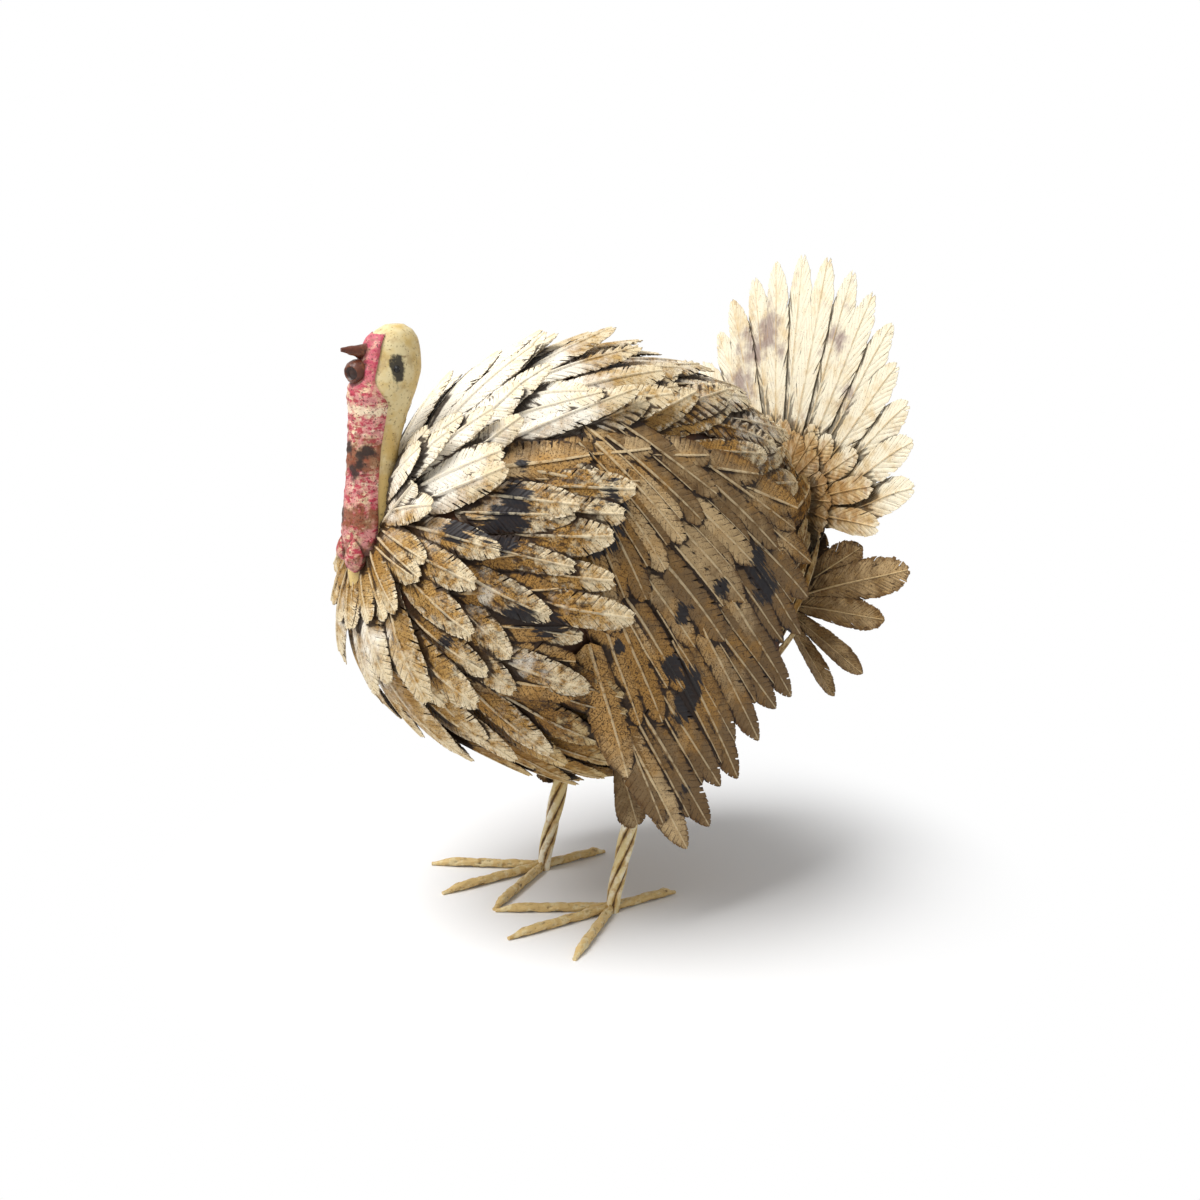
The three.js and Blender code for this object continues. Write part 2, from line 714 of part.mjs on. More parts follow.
function wingPoint(x, z, lift, side) {
  return new THREE.Vector3(x, side * (wingHalfWidth(x, z) + lift), z);
}

// Block round the front of a wing, for trimming the feathers that run up to it.
function wingBlock(side) {
  const outline = wingFrontShares.map(
    ([along, down]) => new THREE.Vector2(shoulder.x + along * wing.length, shoulder.y - down * wing.length),
  );
  const inner = body.halfWidth * wingInnerShare;
  const depth = body.halfWidth + overrun - inner;
  const block = new THREE.ExtrudeGeometry(new THREE.Shape(outline), { depth, bevelEnabled: false });
  block.rotateX(Math.PI / 2);
  return block.translate(0, side > 0 ? inner + depth : -inner, 0);
}

// Thin plate that the tiers are seated on, welded to the side of the shell.
function wingPlate(side, clear) {
  const rows = [];
  for (let r = 0; r <= wingPlateRows; r++) {
    rows.push(wingPlateShares.map((line, k) => ({ u: k, v: r / wingPlateRows, rise: 0 })));
  }
  const place = (u, v, lift) => {
    const [along, top, bottom] = wingPlateShares[u];
    const x = shoulder.x + along * wing.length;
    const z = shoulder.y - mix(top, bottom, v) * wing.length;
    return wingPoint(x, z, lift, side);
  };
  return cut(sheetGeometry(rows, place, sheet, false), clear);
}

// One tier of wing feathers, each from its root to its tip, joined side by side.
function wingTier(tipShares, slants, length, layer, side) {
  const count = tipShares.length;
  const at = (values, u) => {
    const i = THREE.MathUtils.clamp(Math.floor(u), 0, count - 2);
    return mix(values[i], values[i + 1], u - i);
  };
  const tipX = tipShares.map((tip) => shoulder.x + tip[0] * wing.length);
  const tipZ = tipShares.map((tip) => shoulder.y - tip[1] * wing.length);
  const rootX = tipX.map((x, i) => x - length * Math.sin(radians(slants[i])));
  const rootZ = tipZ.map((z, i) => z + length * Math.cos(radians(slants[i])));
  const base = sheet + tierSeat + layer * tierStep;
  const place = (u, v, lift) => {
    const along = u - 0.5;
    const x = mix(at(rootX, along), at(tipX, along), v);
    const z = mix(at(rootZ, along), at(tipZ, along), v);
    return wingPoint(x, z, base + lift, side);
  };
  return sheetGeometry(featherRows(count, wingRootSteps), place, sheet, false);
}

// Feather that hangs at the outer side of a thigh, in the plane of the leg.
function thighFeather(side, clear) {
  const blade = bladeGeometry(paddleShares, thigh.width, thigh.length, 0);
  blade.rotateZ(side > 0 ? -Math.PI / 2 : Math.PI / 2);
  blade.rotateX(Math.PI);
  blade.rotateY(radians(-thigh.slant));
  blade.translate(-thigh.forward, side * (stance / 2 + leg.topRadius + gap), legTopZ - thigh.drop);
  return cut(blade, clear);
}

// Round plate behind the fan's roots, bent along the middle, with the boss that holds it to the shell.
function tailPlateGeometry(clear) {
  const half = new THREE.Shape().absarc(0, 0, tail.plateRadius, 0, Math.PI);
  const upright = new THREE.Matrix4().makeBasis(
    new THREE.Vector3(0, 1, 0), new THREE.Vector3(0, 0, 1), new THREE.Vector3(1, 0, 0));
  const options = { depth: tail.plateThickness, bevelEnabled: false, curveSegments: plateArcSteps };
  const upper = new THREE.ExtrudeGeometry(half, options).applyMatrix4(upright);
  upper.translate(0, 0, -tail.plateThickness / 2);
  const lower = upper.clone().rotateX(Math.PI);
  upper.rotateY(radians(tail.lean));
  lower.rotateY(-radians(tail.lean));
  const stub = new THREE.CylinderGeometry(boss.radius, boss.radius, boss.sink, bossSides);
  stub.rotateZ(Math.PI / 2).translate(tail.plateThickness / 2 - boss.sink / 2, 0, 0);
  return cut(join(upper, lower, stub).translate(hub.x, hub.y, hub.z), clear);
}

// Assembly
const shellClear = eggGeometry(gap);
const neckClear = neckLoft(gap, overrun);
const throatTop = throat.seat + throat.plate + throat.bump;
const throatClear = neckLoft(throatTop + gap + flats, overrun);
const bellyPitch = rowPitch(Math.PI, meridianRuns(Math.PI));
const highestHem = rowSeat + bodyKind.slope * bodyKind.lengthShare * bellyPitch + ridge + sheet;
const rowsClear = eggGeometry(highestHem + gap);

const sides = [
  ["left", -1],
  ["right", 1],
];
for (const [name, side] of sides) {
  addMesh(turkey, "body_shell_" + name, shellHalf(side), "rust");
}

addMesh(turkey, "head_and_nape", headAndNape(shellClear), "cream");
addMesh(turkey, "face_and_throat", faceAndThroat(shellClear), "red");
const wattleClear = [neckLoft(throatTop + gap, overrun), shellClear];
addMesh(turkey, "wattle_large", wattleLobe(1, -1, wattleClear), "red");
addMesh(turkey, "wattle_small", wattleLobe(smallWattleShare, 1, wattleClear), "red");
addMesh(turkey, "beak_upper", upperBeak(throatClear), "brown");
const knobPlace = neckPoint(beakHeightShares.lower, 0, lowerBeak.proud);
addMesh(turkey, "beak_lower", bead(lowerBeak.radius, knobPlace, throatClear), "brown");
for (const [name, side] of sides) {
  const eyePlace = neckPoint(eye.heightShare, side * radians(eye.angle), -eye.sink);
  addMesh(turkey, "eye_" + name, bead(eye.radius, eyePlace, neckClear), "dark");
}

const legClear = [];
for (const [name, side] of sides) {
  addMesh(turkey, "leg_" + name, cut(legLoft(side, 0), shellClear), "gold");
  const foot = new THREE.Group();
  foot.position.set(0, side * (stance / 2), 0);
  turkey.add(foot);
  for (const [toeName, angle] of Object.entries(toeSplay)) {
    const one = addMesh(foot, "toe_" + toeName + "_" + name, toeGeometry(toeLengths[toeName]), "gold");
    one.rotation.z = Math.PI - side * radians(angle);
  }
  legClear.push(legLoft(side, gap + flats));
  addMesh(turkey, "thigh_feather_" + name, thighFeather(side, rowsClear), "cream");
}

const fullClear = [neckClear, throatClear, wingBlock(-1), wingBlock(1)];
for (let row = 1; row <= fullRows; row++) {
  const geometry = cut(bodyRow(row, breastKind, 0, 360), ...fullClear);
  addMesh(turkey, "breast_feathers_row_" + row, geometry, "cream");
}
backReach.forEach((reach, i) => {
  const row = fullRows + 1 + i;
  const kind = i < backReach.length - 1 ? bodyKind : hindKind;
  addMesh(turkey, "back_feathers_row_" + row, bodyRow(row, kind, -reach, reach), "cream");
});
bellyReach.forEach((reach, i) => {
  const row = fullRows + 1 + i;
  const kind = i < bellyReach.length - 1 ? bodyKind : hindKind;
  const geometry = cut(bodyRow(row, kind, 180 - reach, 180 + reach), ...legClear);
  addMesh(turkey, "belly_feathers_row_" + row, geometry, "ochre");
});

for (const [name, side] of sides) {
  addMesh(turkey, "wing_plate_" + name, wingPlate(side, shellClear), "rust");
  const primary = wingTier(primaryTipShares, primarySlants, primaryLength, 0, side);
  addMesh(turkey, "wing_primaries_" + name, primary, "ochre");
  const secondary = wingTier(secondaryTipShares, secondarySlants, secondaryLength, 1, side);
  addMesh(turkey, "wing_secondaries_" + name, secondary, "cream");
  const covert = wingTier(covertTipShares, covertSlants, covertLength, 2, side);
  addMesh(turkey, "wing_coverts_" + name, covert, "cream");
}

addMesh(turkey, "tail_plate", tailPlateGeometry(shellClear), "rust");
const [fan, lowFan] = [tail.lean, -tail.lean].map((lean) => {
  const group = new THREE.Group();
  group.position.copy(hub);
  group.rotation.y = radians(lean);
  turkey.add(group);
  return group;
});
for (const [name, side] of sides) {
  ["front", "back"].forEach((layerName, layer) => {
    const chosen = (_, i) => (i + layer + (side > 0 ? 1 : 0)) % 2 === 0;
    const [angles, reachShares] = [fanAngles.filter(chosen), fanReachShares.filter(chosen)];
    const group = fanGroup(angles, reachShares, lanceShares, fanWidth, side);
    const mesh = addMesh(fan, "tail_fan_" + layerName + "_" + name, group, "cream");
    mesh.position.x = -fanSeat - (1 - layer) * fanStep;
  });
  const short = fanGroup(tailCovertAngles, tailCovertReachShares, lanceShares, tailCovertWidth, side);
  const shortMesh = addMesh(fan, "tail_coverts_" + name, short, "cream");
  shortMesh.position.x = -fanSeat - 2 * fanStep;
  const low = fanGroup(lowAngles, lowReachShares, paddleShares, lowWidth, side);
  const lowMesh = addMesh(lowFan, "tail_low_feathers_" + name, low, "ochre");
  lowMesh.position.x = -fanSeat;
}

// The assembled figure stands with the middle of its footprint at the origin.
const bounds = new THREE.Box3().setFromObject(turkey, true);
const middle = bounds.getCenter(new THREE.Vector3());
turkey.position.set(-middle.x, -middle.y, -bounds.min.z);

export default turkey;
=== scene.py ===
"""Standing turkey figure of pressed, welded and painted sheet steel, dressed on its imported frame.

Sizes are in millimetres in the frame of the ankles, with the figure facing -X, unless a comment
says otherwise. Each piece moves to the frame of the row, in metres, when its mesh is made.
"""

import logging
import math
from collections.abc import Callable
from dataclasses import dataclass, field, replace
from enum import Enum
from functools import cache, partial

import bpy
import numpy as np
from mathutils import Matrix, Vector, noise


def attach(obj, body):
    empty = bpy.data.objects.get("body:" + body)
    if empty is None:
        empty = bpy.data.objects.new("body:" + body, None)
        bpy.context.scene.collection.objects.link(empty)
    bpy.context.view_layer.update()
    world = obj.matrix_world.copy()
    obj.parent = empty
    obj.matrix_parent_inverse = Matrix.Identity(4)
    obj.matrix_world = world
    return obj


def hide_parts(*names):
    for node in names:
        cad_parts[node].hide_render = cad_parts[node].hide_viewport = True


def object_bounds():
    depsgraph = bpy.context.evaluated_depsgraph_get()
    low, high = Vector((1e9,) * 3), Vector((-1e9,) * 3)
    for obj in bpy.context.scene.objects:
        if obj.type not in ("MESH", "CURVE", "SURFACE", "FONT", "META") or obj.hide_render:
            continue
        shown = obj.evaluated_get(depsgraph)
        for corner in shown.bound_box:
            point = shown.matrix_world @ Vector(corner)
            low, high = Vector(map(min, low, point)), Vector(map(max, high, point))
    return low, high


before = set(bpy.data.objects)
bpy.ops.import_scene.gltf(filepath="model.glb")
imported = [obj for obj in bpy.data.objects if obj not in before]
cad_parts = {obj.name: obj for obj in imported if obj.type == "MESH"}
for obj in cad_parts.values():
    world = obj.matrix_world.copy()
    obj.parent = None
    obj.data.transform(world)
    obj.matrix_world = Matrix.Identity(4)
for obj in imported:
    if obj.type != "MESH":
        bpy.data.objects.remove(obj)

Numbers = np.ndarray | float

LOG = logging.getLogger("turkey")
CAD_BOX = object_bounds()
MM = 0.001
SHIFT = -18.62  # from the frame of the ankles to the frame of the row
ANGLE_SMOOTH = math.radians(38)
SIDES = {"left": -1, "right": 1}
SHEET_MM = (10.0, 6.5, 1.0)  # real size on the feather of one unit of its UV map
SHEET_SHIFT = 50.0  # range over which the feathers' maps are moved, so that no two look alike
FAR_SIDE_SHIFT = 14.0  # how far back the right side's stains lie, so that the sides differ


def linear(code: str) -> tuple[float, ...]:
    """Linear RGBA of an sRGB hex colour such as "c8b090"."""
    parts = [int(code[i:i + 2], 16) / 255 for i in (0, 2, 4)]
    return tuple(c / 12.92 if c <= 0.04045 else ((c + 0.055) / 1.055) ** 2.4 for c in parts) + (1.0,)


def smooth(low: float, high: float, value: np.ndarray) -> np.ndarray:
    """Smooth step from 0 at low to 1 at high."""
    t = np.clip((np.asarray(value, float) - low) / (high - low), 0, 1)
    return t * t * (3 - 2 * t)


def around(count: int) -> np.ndarray:
    """Angles of the given number of points evenly round a circle."""
    return np.linspace(0, 2 * np.pi, count, endpoint=False)


def add_node(tree: bpy.types.NodeTree, kind: str, inputs: dict | None = None, **settings) -> bpy.types.Node:
    """Adds a shader node with its settings, and sets or links its inputs.

    Args:
        tree: The node tree that it goes in.
        kind: The end of the node's type name, such as "Math".
        inputs: A socket or a constant for each input, by name or number.
        settings: The node's own properties.

    Returns:
        The new node.
    """
    node = tree.nodes.new("ShaderNode" + kind)
    for name, value in settings.items():
        setattr(node, name, value)
    for key, value in (inputs or {}).items():
        if isinstance(value, bpy.types.NodeSocket):
            tree.links.new(value, node.inputs[key])
        else:
            node.inputs[key].default_value = value
    return node


def clear_nodes(block: bpy.types.Material | bpy.types.World) -> Callable[..., bpy.types.Node]:
    """Empties the node tree of a new material or world.

    Args:
        block: The material or world.

    Returns:
        The function add_node for this tree.
    """
    block.use_nodes = True
    block.node_tree.nodes.clear()
    return partial(add_node, block.node_tree)


# Paints

class Mark(Enum):
    """What a layer of paint, wear, painted light and painted shade follows: an attribute's name and its
    channel.
    """

    NONE = ("", "")
    GROOVE = ("mark", "Red")
    SHAFT = ("mark", "Green")
    EDGE = ("mark", "Blue")
    ALONG = ("mark", "Alpha")
    OCHRE = ("wash", "Red")
    DARK = ("wash", "Green")
    WHITE = ("wash", "Blue")
    TONE = ("wash", "Alpha")


@dataclass(frozen=True)
class Sources:
    """What the layers of one paint read: coordinates on the object and on the flat feather, and marks."""

    add: Callable[..., bpy.types.Node]
    place: bpy.types.NodeSocket
    sheet: bpy.types.NodeSocket | None
    marks: dict[tuple[str, str], bpy.types.NodeSocket]


@dataclass(frozen=True)
class Layer:
    """One layer of paint, stain or wear over those before it.

    A noise of the given size plus the mark times its gain is cut softly between low and high.
    """

    colour: str
    grain: float  # across one patch of the noise
    low: float
    high: float
    mark: Mark = Mark.NONE
    gain: float = 0.0
    strength: float = 1.0
    detail: float = 4.0
    stretch: tuple[float, float, float] = (1.0, 1.0, 1.0)
    rough: float | None = None
    on_sheet: bool = False  # its noise follows the flat feather: across, and along its barbs

    def mask(self, sources: Sources, index: int) -> bpy.types.NodeSocket:
        """Adds the nodes that say where this layer lies.

        Args:
            sources: What the paint's layers read.
            index: Number of the layer, which moves its noise off the other layers'.

        Returns:
            Socket of its cover, from 0 to its strength.
        """
        add = sources.add
        source, unit, scale = sources.place, MM, self.stretch
        if self.on_sheet:
            source, unit, scale = sources.sheet, 1.0, tuple(a * b for a, b in zip(self.stretch, SHEET_MM))
        shift = (index * 0.37, index * 0.11, 0)
        moved = add("Mapping", {"Vector": source, "Location": shift, "Scale": scale})
        cloud = add("TexNoise", {"Vector": moved.outputs[0], "Scale": 1 / (self.grain * unit),
                                 "Detail": self.detail, "Roughness": 0.6})
        value = cloud.outputs[0]
        if self.mark is not Mark.NONE:
            value = add("Math", {0: sources.marks[self.mark.value], 1: self.gain, 2: value},
                        operation="MULTIPLY_ADD").outputs[0]
        return add("MapRange", {"Value": value, "From Min": self.low, "From Max": self.high,
                                "To Max": self.strength}, interpolation_type="SMOOTHSTEP").outputs[0]


@dataclass(frozen=True)
class PaintedSteel:
    """Steel sheet under chalky paint, rubbed and stained by hand: its layers, from the base up."""

    name: str
    base: str
    layers: tuple[Layer, ...]
    roughness: float = 0.62
    specular: float = 0.35
    coat: float = 0.0
    pit_depth: float = 0.12  # brush marks and pits of the paint
    pit_grain: float = 3.0
    barb_depth: float = 0.0  # pressed lines of the barbs
    barb_lines: float = 3.0  # in one barb of the pressing; finer real ones wouldn't show in the render
    shade_and_wax: str = "24160d"  # painted shade and dark wax where one piece lies over another
    shade_and_wax_share: float = 0.0
    shade_and_wax_grain: float = 3.0  # how ragged the edge of the painted shade and wax is
    shade_and_wax_range: tuple[float, float] = (0.62, 1.02)

    def read_marks(self, add: Callable[..., bpy.types.Node]) -> dict[tuple[str, str], bpy.types.NodeSocket]:
        """Adds the nodes that read the pieces' marks.

        Args:
            add: Adds a node to the paint's tree.

        Returns:
            A socket for each attribute and channel that the layers follow.
        """
        marks = {}
        for attribute in ("mark", "wash"):
            if any(layer.mark.value[0] == attribute for layer in self.layers):
                source = add("Attribute", attribute_name=attribute)
                split = add("SeparateColor", {"Color": source.outputs["Color"]})
                for channel in ("Red", "Green", "Blue"):
                    marks[(attribute, channel)] = split.outputs[channel]
                marks[(attribute, "Alpha")] = source.outputs["Alpha"]
        return marks

    def shade_and_wax_mask(self, sources: Sources) -> bpy.types.NodeSocket:
        """Adds the nodes that say where painted shade and dark wax lie, where other pieces shut this one in.

        Args:
            sources: What the paint's layers read.

        Returns:
            Socket of its cover.
        """
        add = sources.add
        shut = add("Attribute", attribute_name="shut").outputs["Fac"]
        rag = add("TexNoise", {"Vector": sources.place, "Scale": 1 / (self.shade_and_wax_grain * MM), "Detail": 4.0})
        edge = add("Math", {0: rag.outputs["Fac"], 1: 0.5, 2: shut}, operation="MULTIPLY_ADD")
        return add("MapRange", {"Value": edge.outputs[0], "From Min": self.shade_and_wax_range[0],
                                "From Max": self.shade_and_wax_range[1], "To Max": self.shade_and_wax_share},
                   interpolation_type="SMOOTHSTEP").outputs[0]

    def relief(self, sources: Sources) -> bpy.types.NodeSocket:
        """Adds the bumps of the paint's pits and of the pressed barbs.

        Args:
            sources: What the paint's layers read.

        Returns:
            Socket of the bumped normal.
        """
        add = sources.add
        pits = add("TexNoise", {"Vector": sources.place, "Scale": 1 / (self.pit_grain * MM), "Detail": 5.0})
        bump = add("Bump", {"Height": pits.outputs[0], "Distance": self.pit_depth * MM, "Strength": 1.0})
        if self.barb_depth:
            lines = add("TexWave", {"Vector": sources.sheet, "Scale": self.barb_lines / 20 * math.pi,
                                    "Distortion": 0.4}, wave_type="BANDS", bands_direction="Y")
            bump = add("Bump", {"Height": lines.outputs[1], "Distance": self.barb_depth * MM,
                                "Strength": 1.0, "Normal": bump.outputs[0]})
        return bump.outputs[0]

    def build(self) -> bpy.types.Material:
        """Builds the node material of this paint.

        Returns:
            The material.
        """
        material = bpy.data.materials.new(self.name)
        add = clear_nodes(material)
        on_sheet = self.barb_depth or any(layer.on_sheet for layer in self.layers)
        sheet = add("UVMap", uv_map="feather").outputs[0] if on_sheet else None
        sources = Sources(add, add("TexCoord").outputs["Object"], sheet, self.read_marks(add))
        colour, rough = linear(self.base), self.roughness
        for index, layer in enumerate(self.layers):
            mask = layer.mask(sources, index)
            colour = add("Mix", {0: mask, 6: colour, 7: linear(layer.colour)}, data_type="RGBA").outputs[2]
            if layer.rough is not None:
                rough = add("Mix", {0: mask, 2: rough, 3: layer.rough}).outputs[0]
        # Painted shade and dark wax darken the places that other pieces shut in
        if self.shade_and_wax_share:
            mask = self.shade_and_wax_mask(sources)
            colour = add("Mix", {0: mask, 6: colour, 7: linear(self.shade_and_wax)}, data_type="RGBA").outputs[2]
        shader = add("BsdfPrincipled", {
            "Base Color": colour, "Roughness": rough, "Specular IOR Level": self.specular, "IOR": 1.5,
            "Coat Weight": self.coat, "Coat Roughness": 0.2, "Normal": self.relief(sources)})
        add("OutputMaterial", {"Surface": shader.outputs[0]})
        return material


OCHRE, BROWN, NAVY, UMBER = "b58a45", "63441a", "0f1018", "2a190c"
ALONG_BARBS = (2.2, 0.35, 1)  # stretch of wear that runs along the barbs

# Rust pinholes and stains that most feathers share, drawn coarser than the finest real ones
SPECKS = (
    Layer("80571f", 9.0, 0.56, 0.76, Mark.OCHRE, 0.16, 0.5, detail=8.0),
    Layer(BROWN, 1.8, 0.59, 0.66, Mark.OCHRE, 0.07, 0.8, detail=2.0),
    Layer(UMBER, 1.3, 0.65, 0.71, Mark.OCHRE, 0.08, 0.9, detail=1.0),
    Layer(UMBER, 7.0, 0.60, 0.68, Mark.OCHRE, 0.10, 0.85, detail=8.0, stretch=(1.5, 0.5, 1), on_sheet=True),
)
# Rubbed shaft and dark grooves between the barbs
LINES = (
    Layer("e2d3b2", 8, 0.96, 1.12, Mark.SHAFT, 0.60, 0.45),
    Layer(UMBER, 10, 1.02, 1.24, Mark.GROOVE, 0.80, 0.85),
)
# Bare blue-black patches with torn edges
STREAKS = Layer(NAVY, 8, 0.90, 1.00, Mark.DARK, 0.62, 0.97, rough=0.5, stretch=ALONG_BARBS, detail=8.0,
                on_sheet=True)
BARBS = Layer("5a3d1e", 1.0, 0.60, 0.74, strength=0.22, detail=2.0, stretch=(0.12, 1.2, 1), on_sheet=True)

# Chalk paint dries matt and pale, so the upper feathers are cream at their tips and ochre where rubbed
CREAM_FEATHER = PaintedSteel(
    "chalk painted pressed steel", "cdb07a",
    (
        Layer("a9854a", 42, 0.36, 0.70, strength=0.7),
        # Darker with each feather's own tone, and with the painted shade of the tone stains
        Layer("86622c", 14, 0.46, 0.96, Mark.TONE, 0.30, 0.6),
        Layer(OCHRE, 22, 0.24, 0.96, Mark.OCHRE, 0.40, 0.9),
        Layer("8a6022", 8, -0.06, 0.60, Mark.ALONG, -0.62, 0.8, detail=7.0),
        BARBS,
        *SPECKS,
        # Whiter paint, and painted light from the white stains
        Layer("f3ecdc", 16, 0.56, 1.06, Mark.WHITE, 0.70, 0.95),
        Layer("e3d3b0", 9, 0.82, 1.14, Mark.ALONG, 0.62, 0.8),
        Layer("ebdfc4", 5, 0.94, 1.16, Mark.EDGE, 0.58, 0.6),
        Layer(BROWN, 1.3, 0.66, 0.71, Mark.OCHRE, 0.07, 0.75, detail=1.0),
        Layer("7b6542", 3, 1.03, 1.12, Mark.EDGE, 0.58, 0.7),
        STREAKS,
        *LINES,
    ),
    specular=0.22, barb_depth=0.2, shade_and_wax="2e1c0e", shade_and_wax_share=0.9,
)
# Thinner paint over rust, so the belly is a matt ochre with darker roots and paler edges
OCHRE_FEATHER = PaintedSteel(
    "rubbed ochre paint on pressed steel", "a78446",
    (
        Layer("7f5a26", 40, 0.38, 0.70, strength=0.75),
        Layer(OCHRE, 22, 0.30, 0.94, Mark.OCHRE, 0.32, 0.85),
        # Darker with each feather's own tone, and with the painted shade of the tone stains
        Layer("694419", 12, 0.46, 0.96, Mark.TONE, 0.30, 0.65),
        Layer("7c5519", 8, -0.06, 0.60, Mark.ALONG, -0.62, 0.75, detail=7.0),
        BARBS,
        *SPECKS,
        # Whiter paint, and painted light from the white stains
        Layer("e6dcc6", 14, 0.58, 1.04, Mark.WHITE, 0.66, 0.9),
        Layer("d2bc8c", 9, 0.84, 1.16, Mark.ALONG, 0.60, 0.7),
        Layer("c2a873", 5, 0.98, 1.20, Mark.EDGE, 0.56, 0.45),
        Layer(BROWN, 1.3, 0.65, 0.70, Mark.OCHRE, 0.07, 0.75, detail=1.0),
        Layer("5f4624", 3, 1.03, 1.12, Mark.EDGE, 0.58, 0.7),
        STREAKS,
        *LINES,
    ),
    specular=0.22, barb_depth=0.2, shade_and_wax_share=0.94,
)
# Matt beige paint worn to brown at the edges and darkened there by painted shadow of the feather over it, so
# each long wing feather is drawn by a dark line
WING_FEATHER = PaintedSteel(
    "beige chalk paint on pressed steel", "ccb083",
    (
        Layer("9d8158", 60, 0.38, 0.70, strength=0.65),
        # Darker with each feather's own tone, and with painted shade at the wing's rear and lower edge
        Layer("5a3f1d", 24, 0.44, 1.02, Mark.TONE, 0.56, 0.85),
        Layer("b0813a", 22, 0.54, 0.96, Mark.OCHRE, 0.40, 0.75),
        Layer("94682c", 9, 0.60, 0.80, strength=0.5, detail=7.0, stretch=(1.6, 0.6, 1), on_sheet=True),
        Layer(BROWN, 1.8, 0.60, 0.67, Mark.OCHRE, 0.07, 0.75, detail=2.0),
        Layer(UMBER, 1.3, 0.65, 0.71, Mark.OCHRE, 0.08, 0.85, detail=1.0),
        # Brown edge band: worn paint, and painted shadow of the feather over it
        Layer("5a3c16", 8, 0.86, 1.20, Mark.EDGE, 0.62, 0.8),
        Layer(UMBER, 5, 0.96, 1.08, Mark.EDGE, 0.50, 0.85, detail=8.0, stretch=ALONG_BARBS, on_sheet=True),
        Layer(UMBER, 6, 0.66, 0.73, strength=0.8, detail=8.0, stretch=(2.2, 0.5, 1), on_sheet=True),
        Layer("dbc7a0", 8, 0.92, 1.16, Mark.SHAFT, 0.62, 0.55),
        STREAKS,
        Layer(UMBER, 10, 1.02, 1.24, Mark.GROOVE, 0.80, 0.9),
    ),
    specular=0.25, barb_depth=0.16, shade_and_wax_share=0.96,
)
# Thick warm white paint, so the fan is bright and smooth, with soft violet-brown smudges
FAN_FEATHER = PaintedSteel(
    "white chalk paint on pressed steel", "f1e8cf",
    (
        Layer("dfc494", 30, 0.54, 0.76, strength=0.7),
        Layer("c9a562", 16, 0.50, 0.96, Mark.OCHRE, 0.32, 0.75),
        Layer("9c6c2c", 9, 0.72, 1.06, Mark.OCHRE, 0.40, 0.8, detail=7.0),
        Layer("84696a", 22, 0.58, 0.86, Mark.DARK, 0.34, 0.75, detail=7.0),
        Layer(BROWN, 1.6, 0.68, 0.73, strength=0.6, detail=1.0),
        Layer("c9a469", 4, 0.58, 0.72, strength=0.5, detail=6.0, stretch=(1.8, 0.25, 1), on_sheet=True),
        Layer("c4a26a", 9, 0.96, 1.14, Mark.SHAFT, 0.60, 0.6),
        Layer("5a4528", 12, 1.02, 1.24, Mark.GROOVE, 0.80, 0.55),
    ),
    barb_depth=0.06, shade_and_wax="3a2a18", shade_and_wax_share=0.7,
)
# Little paint is left on the low feathers, so they are a dull brown with dark rims
LOW_FEATHER = PaintedSteel(
    "rubbed brown paint on pressed steel", "bda074",
    (
        Layer("86673c", 34, 0.44, 0.66, strength=0.85),
        Layer("5f4526", 14, 0.60, 1.00, Mark.TONE, 0.40, 0.7),
        Layer("5a3b17", 8, 0.86, 1.16, Mark.EDGE, 0.60, 0.7),
        Layer("bb9760", 9, 0.54, 0.70, strength=0.6, stretch=(1.6, 0.5, 1), on_sheet=True),
        BARBS,
        *SPECKS,
        Layer("d2b888", 8, 0.90, 1.10, Mark.SHAFT, 0.60, 0.8),
        Layer(UMBER, 10, 1.02, 1.24, Mark.GROOVE, 0.80, 0.9),
    ),
    barb_depth=0.2, shade_and_wax_share=0.9,
)
# Enamel flows out on spun steel, so the head has a soft shine over smudged cream
HEAD_PAINT = PaintedSteel(
    "cream enamel on spun steel", "dccb9c",
    (
        Layer("cbac66", 22, 0.48, 0.72, Mark.OCHRE, 0.35, 0.85),
        Layer("a8895a", 12, 0.52, 0.72, strength=0.6, detail=6.0),
        Layer("7d5c30", 6, 0.58, 0.70, strength=0.7, detail=6.0),
        Layer(BROWN, 2.4, 0.62, 0.68, strength=0.6, detail=2.0),
        Layer("15120f", 9, 0.74, 0.92, Mark.DARK, 0.55, 0.95, rough=0.4),
    ),
    roughness=0.45, pit_depth=0.10,
)
# On the real face red stays in the hollows and cream shows on the knobs; here red and cream lie in patches of
# noise, with cream bands down the throat
FACE_PAINT = PaintedSteel(
    "rubbed red paint on knobbly steel", "dcbf9a",
    (
        Layer("c4707a", 14, 0.36, 0.56, strength=0.8),
        Layer("a8213f", 8, 0.47, 0.58, strength=0.9, stretch=(1, 1, 2)),
        Layer("b8485e", 8, 0.62, 0.86, Mark.TONE, 0.36, 0.75),
        Layer("7a4824", 6, 0.50, 0.76, Mark.OCHRE, 0.34, 0.85, detail=7.0),
        Layer("ecdbbb", 5, 0.66, 0.88, Mark.WHITE, 0.36, 0.8, stretch=(1, 1, 1.6)),
        Layer("1a1310", 7, 0.74, 1.02, Mark.DARK, 0.55, 0.92, detail=8.0),
        Layer(UMBER, 1.6, 0.60, 0.67, strength=0.75, detail=1.0),
    ),
    roughness=0.5, pit_depth=0.25, pit_grain=3.5, shade_and_wax_share=0.6,
)
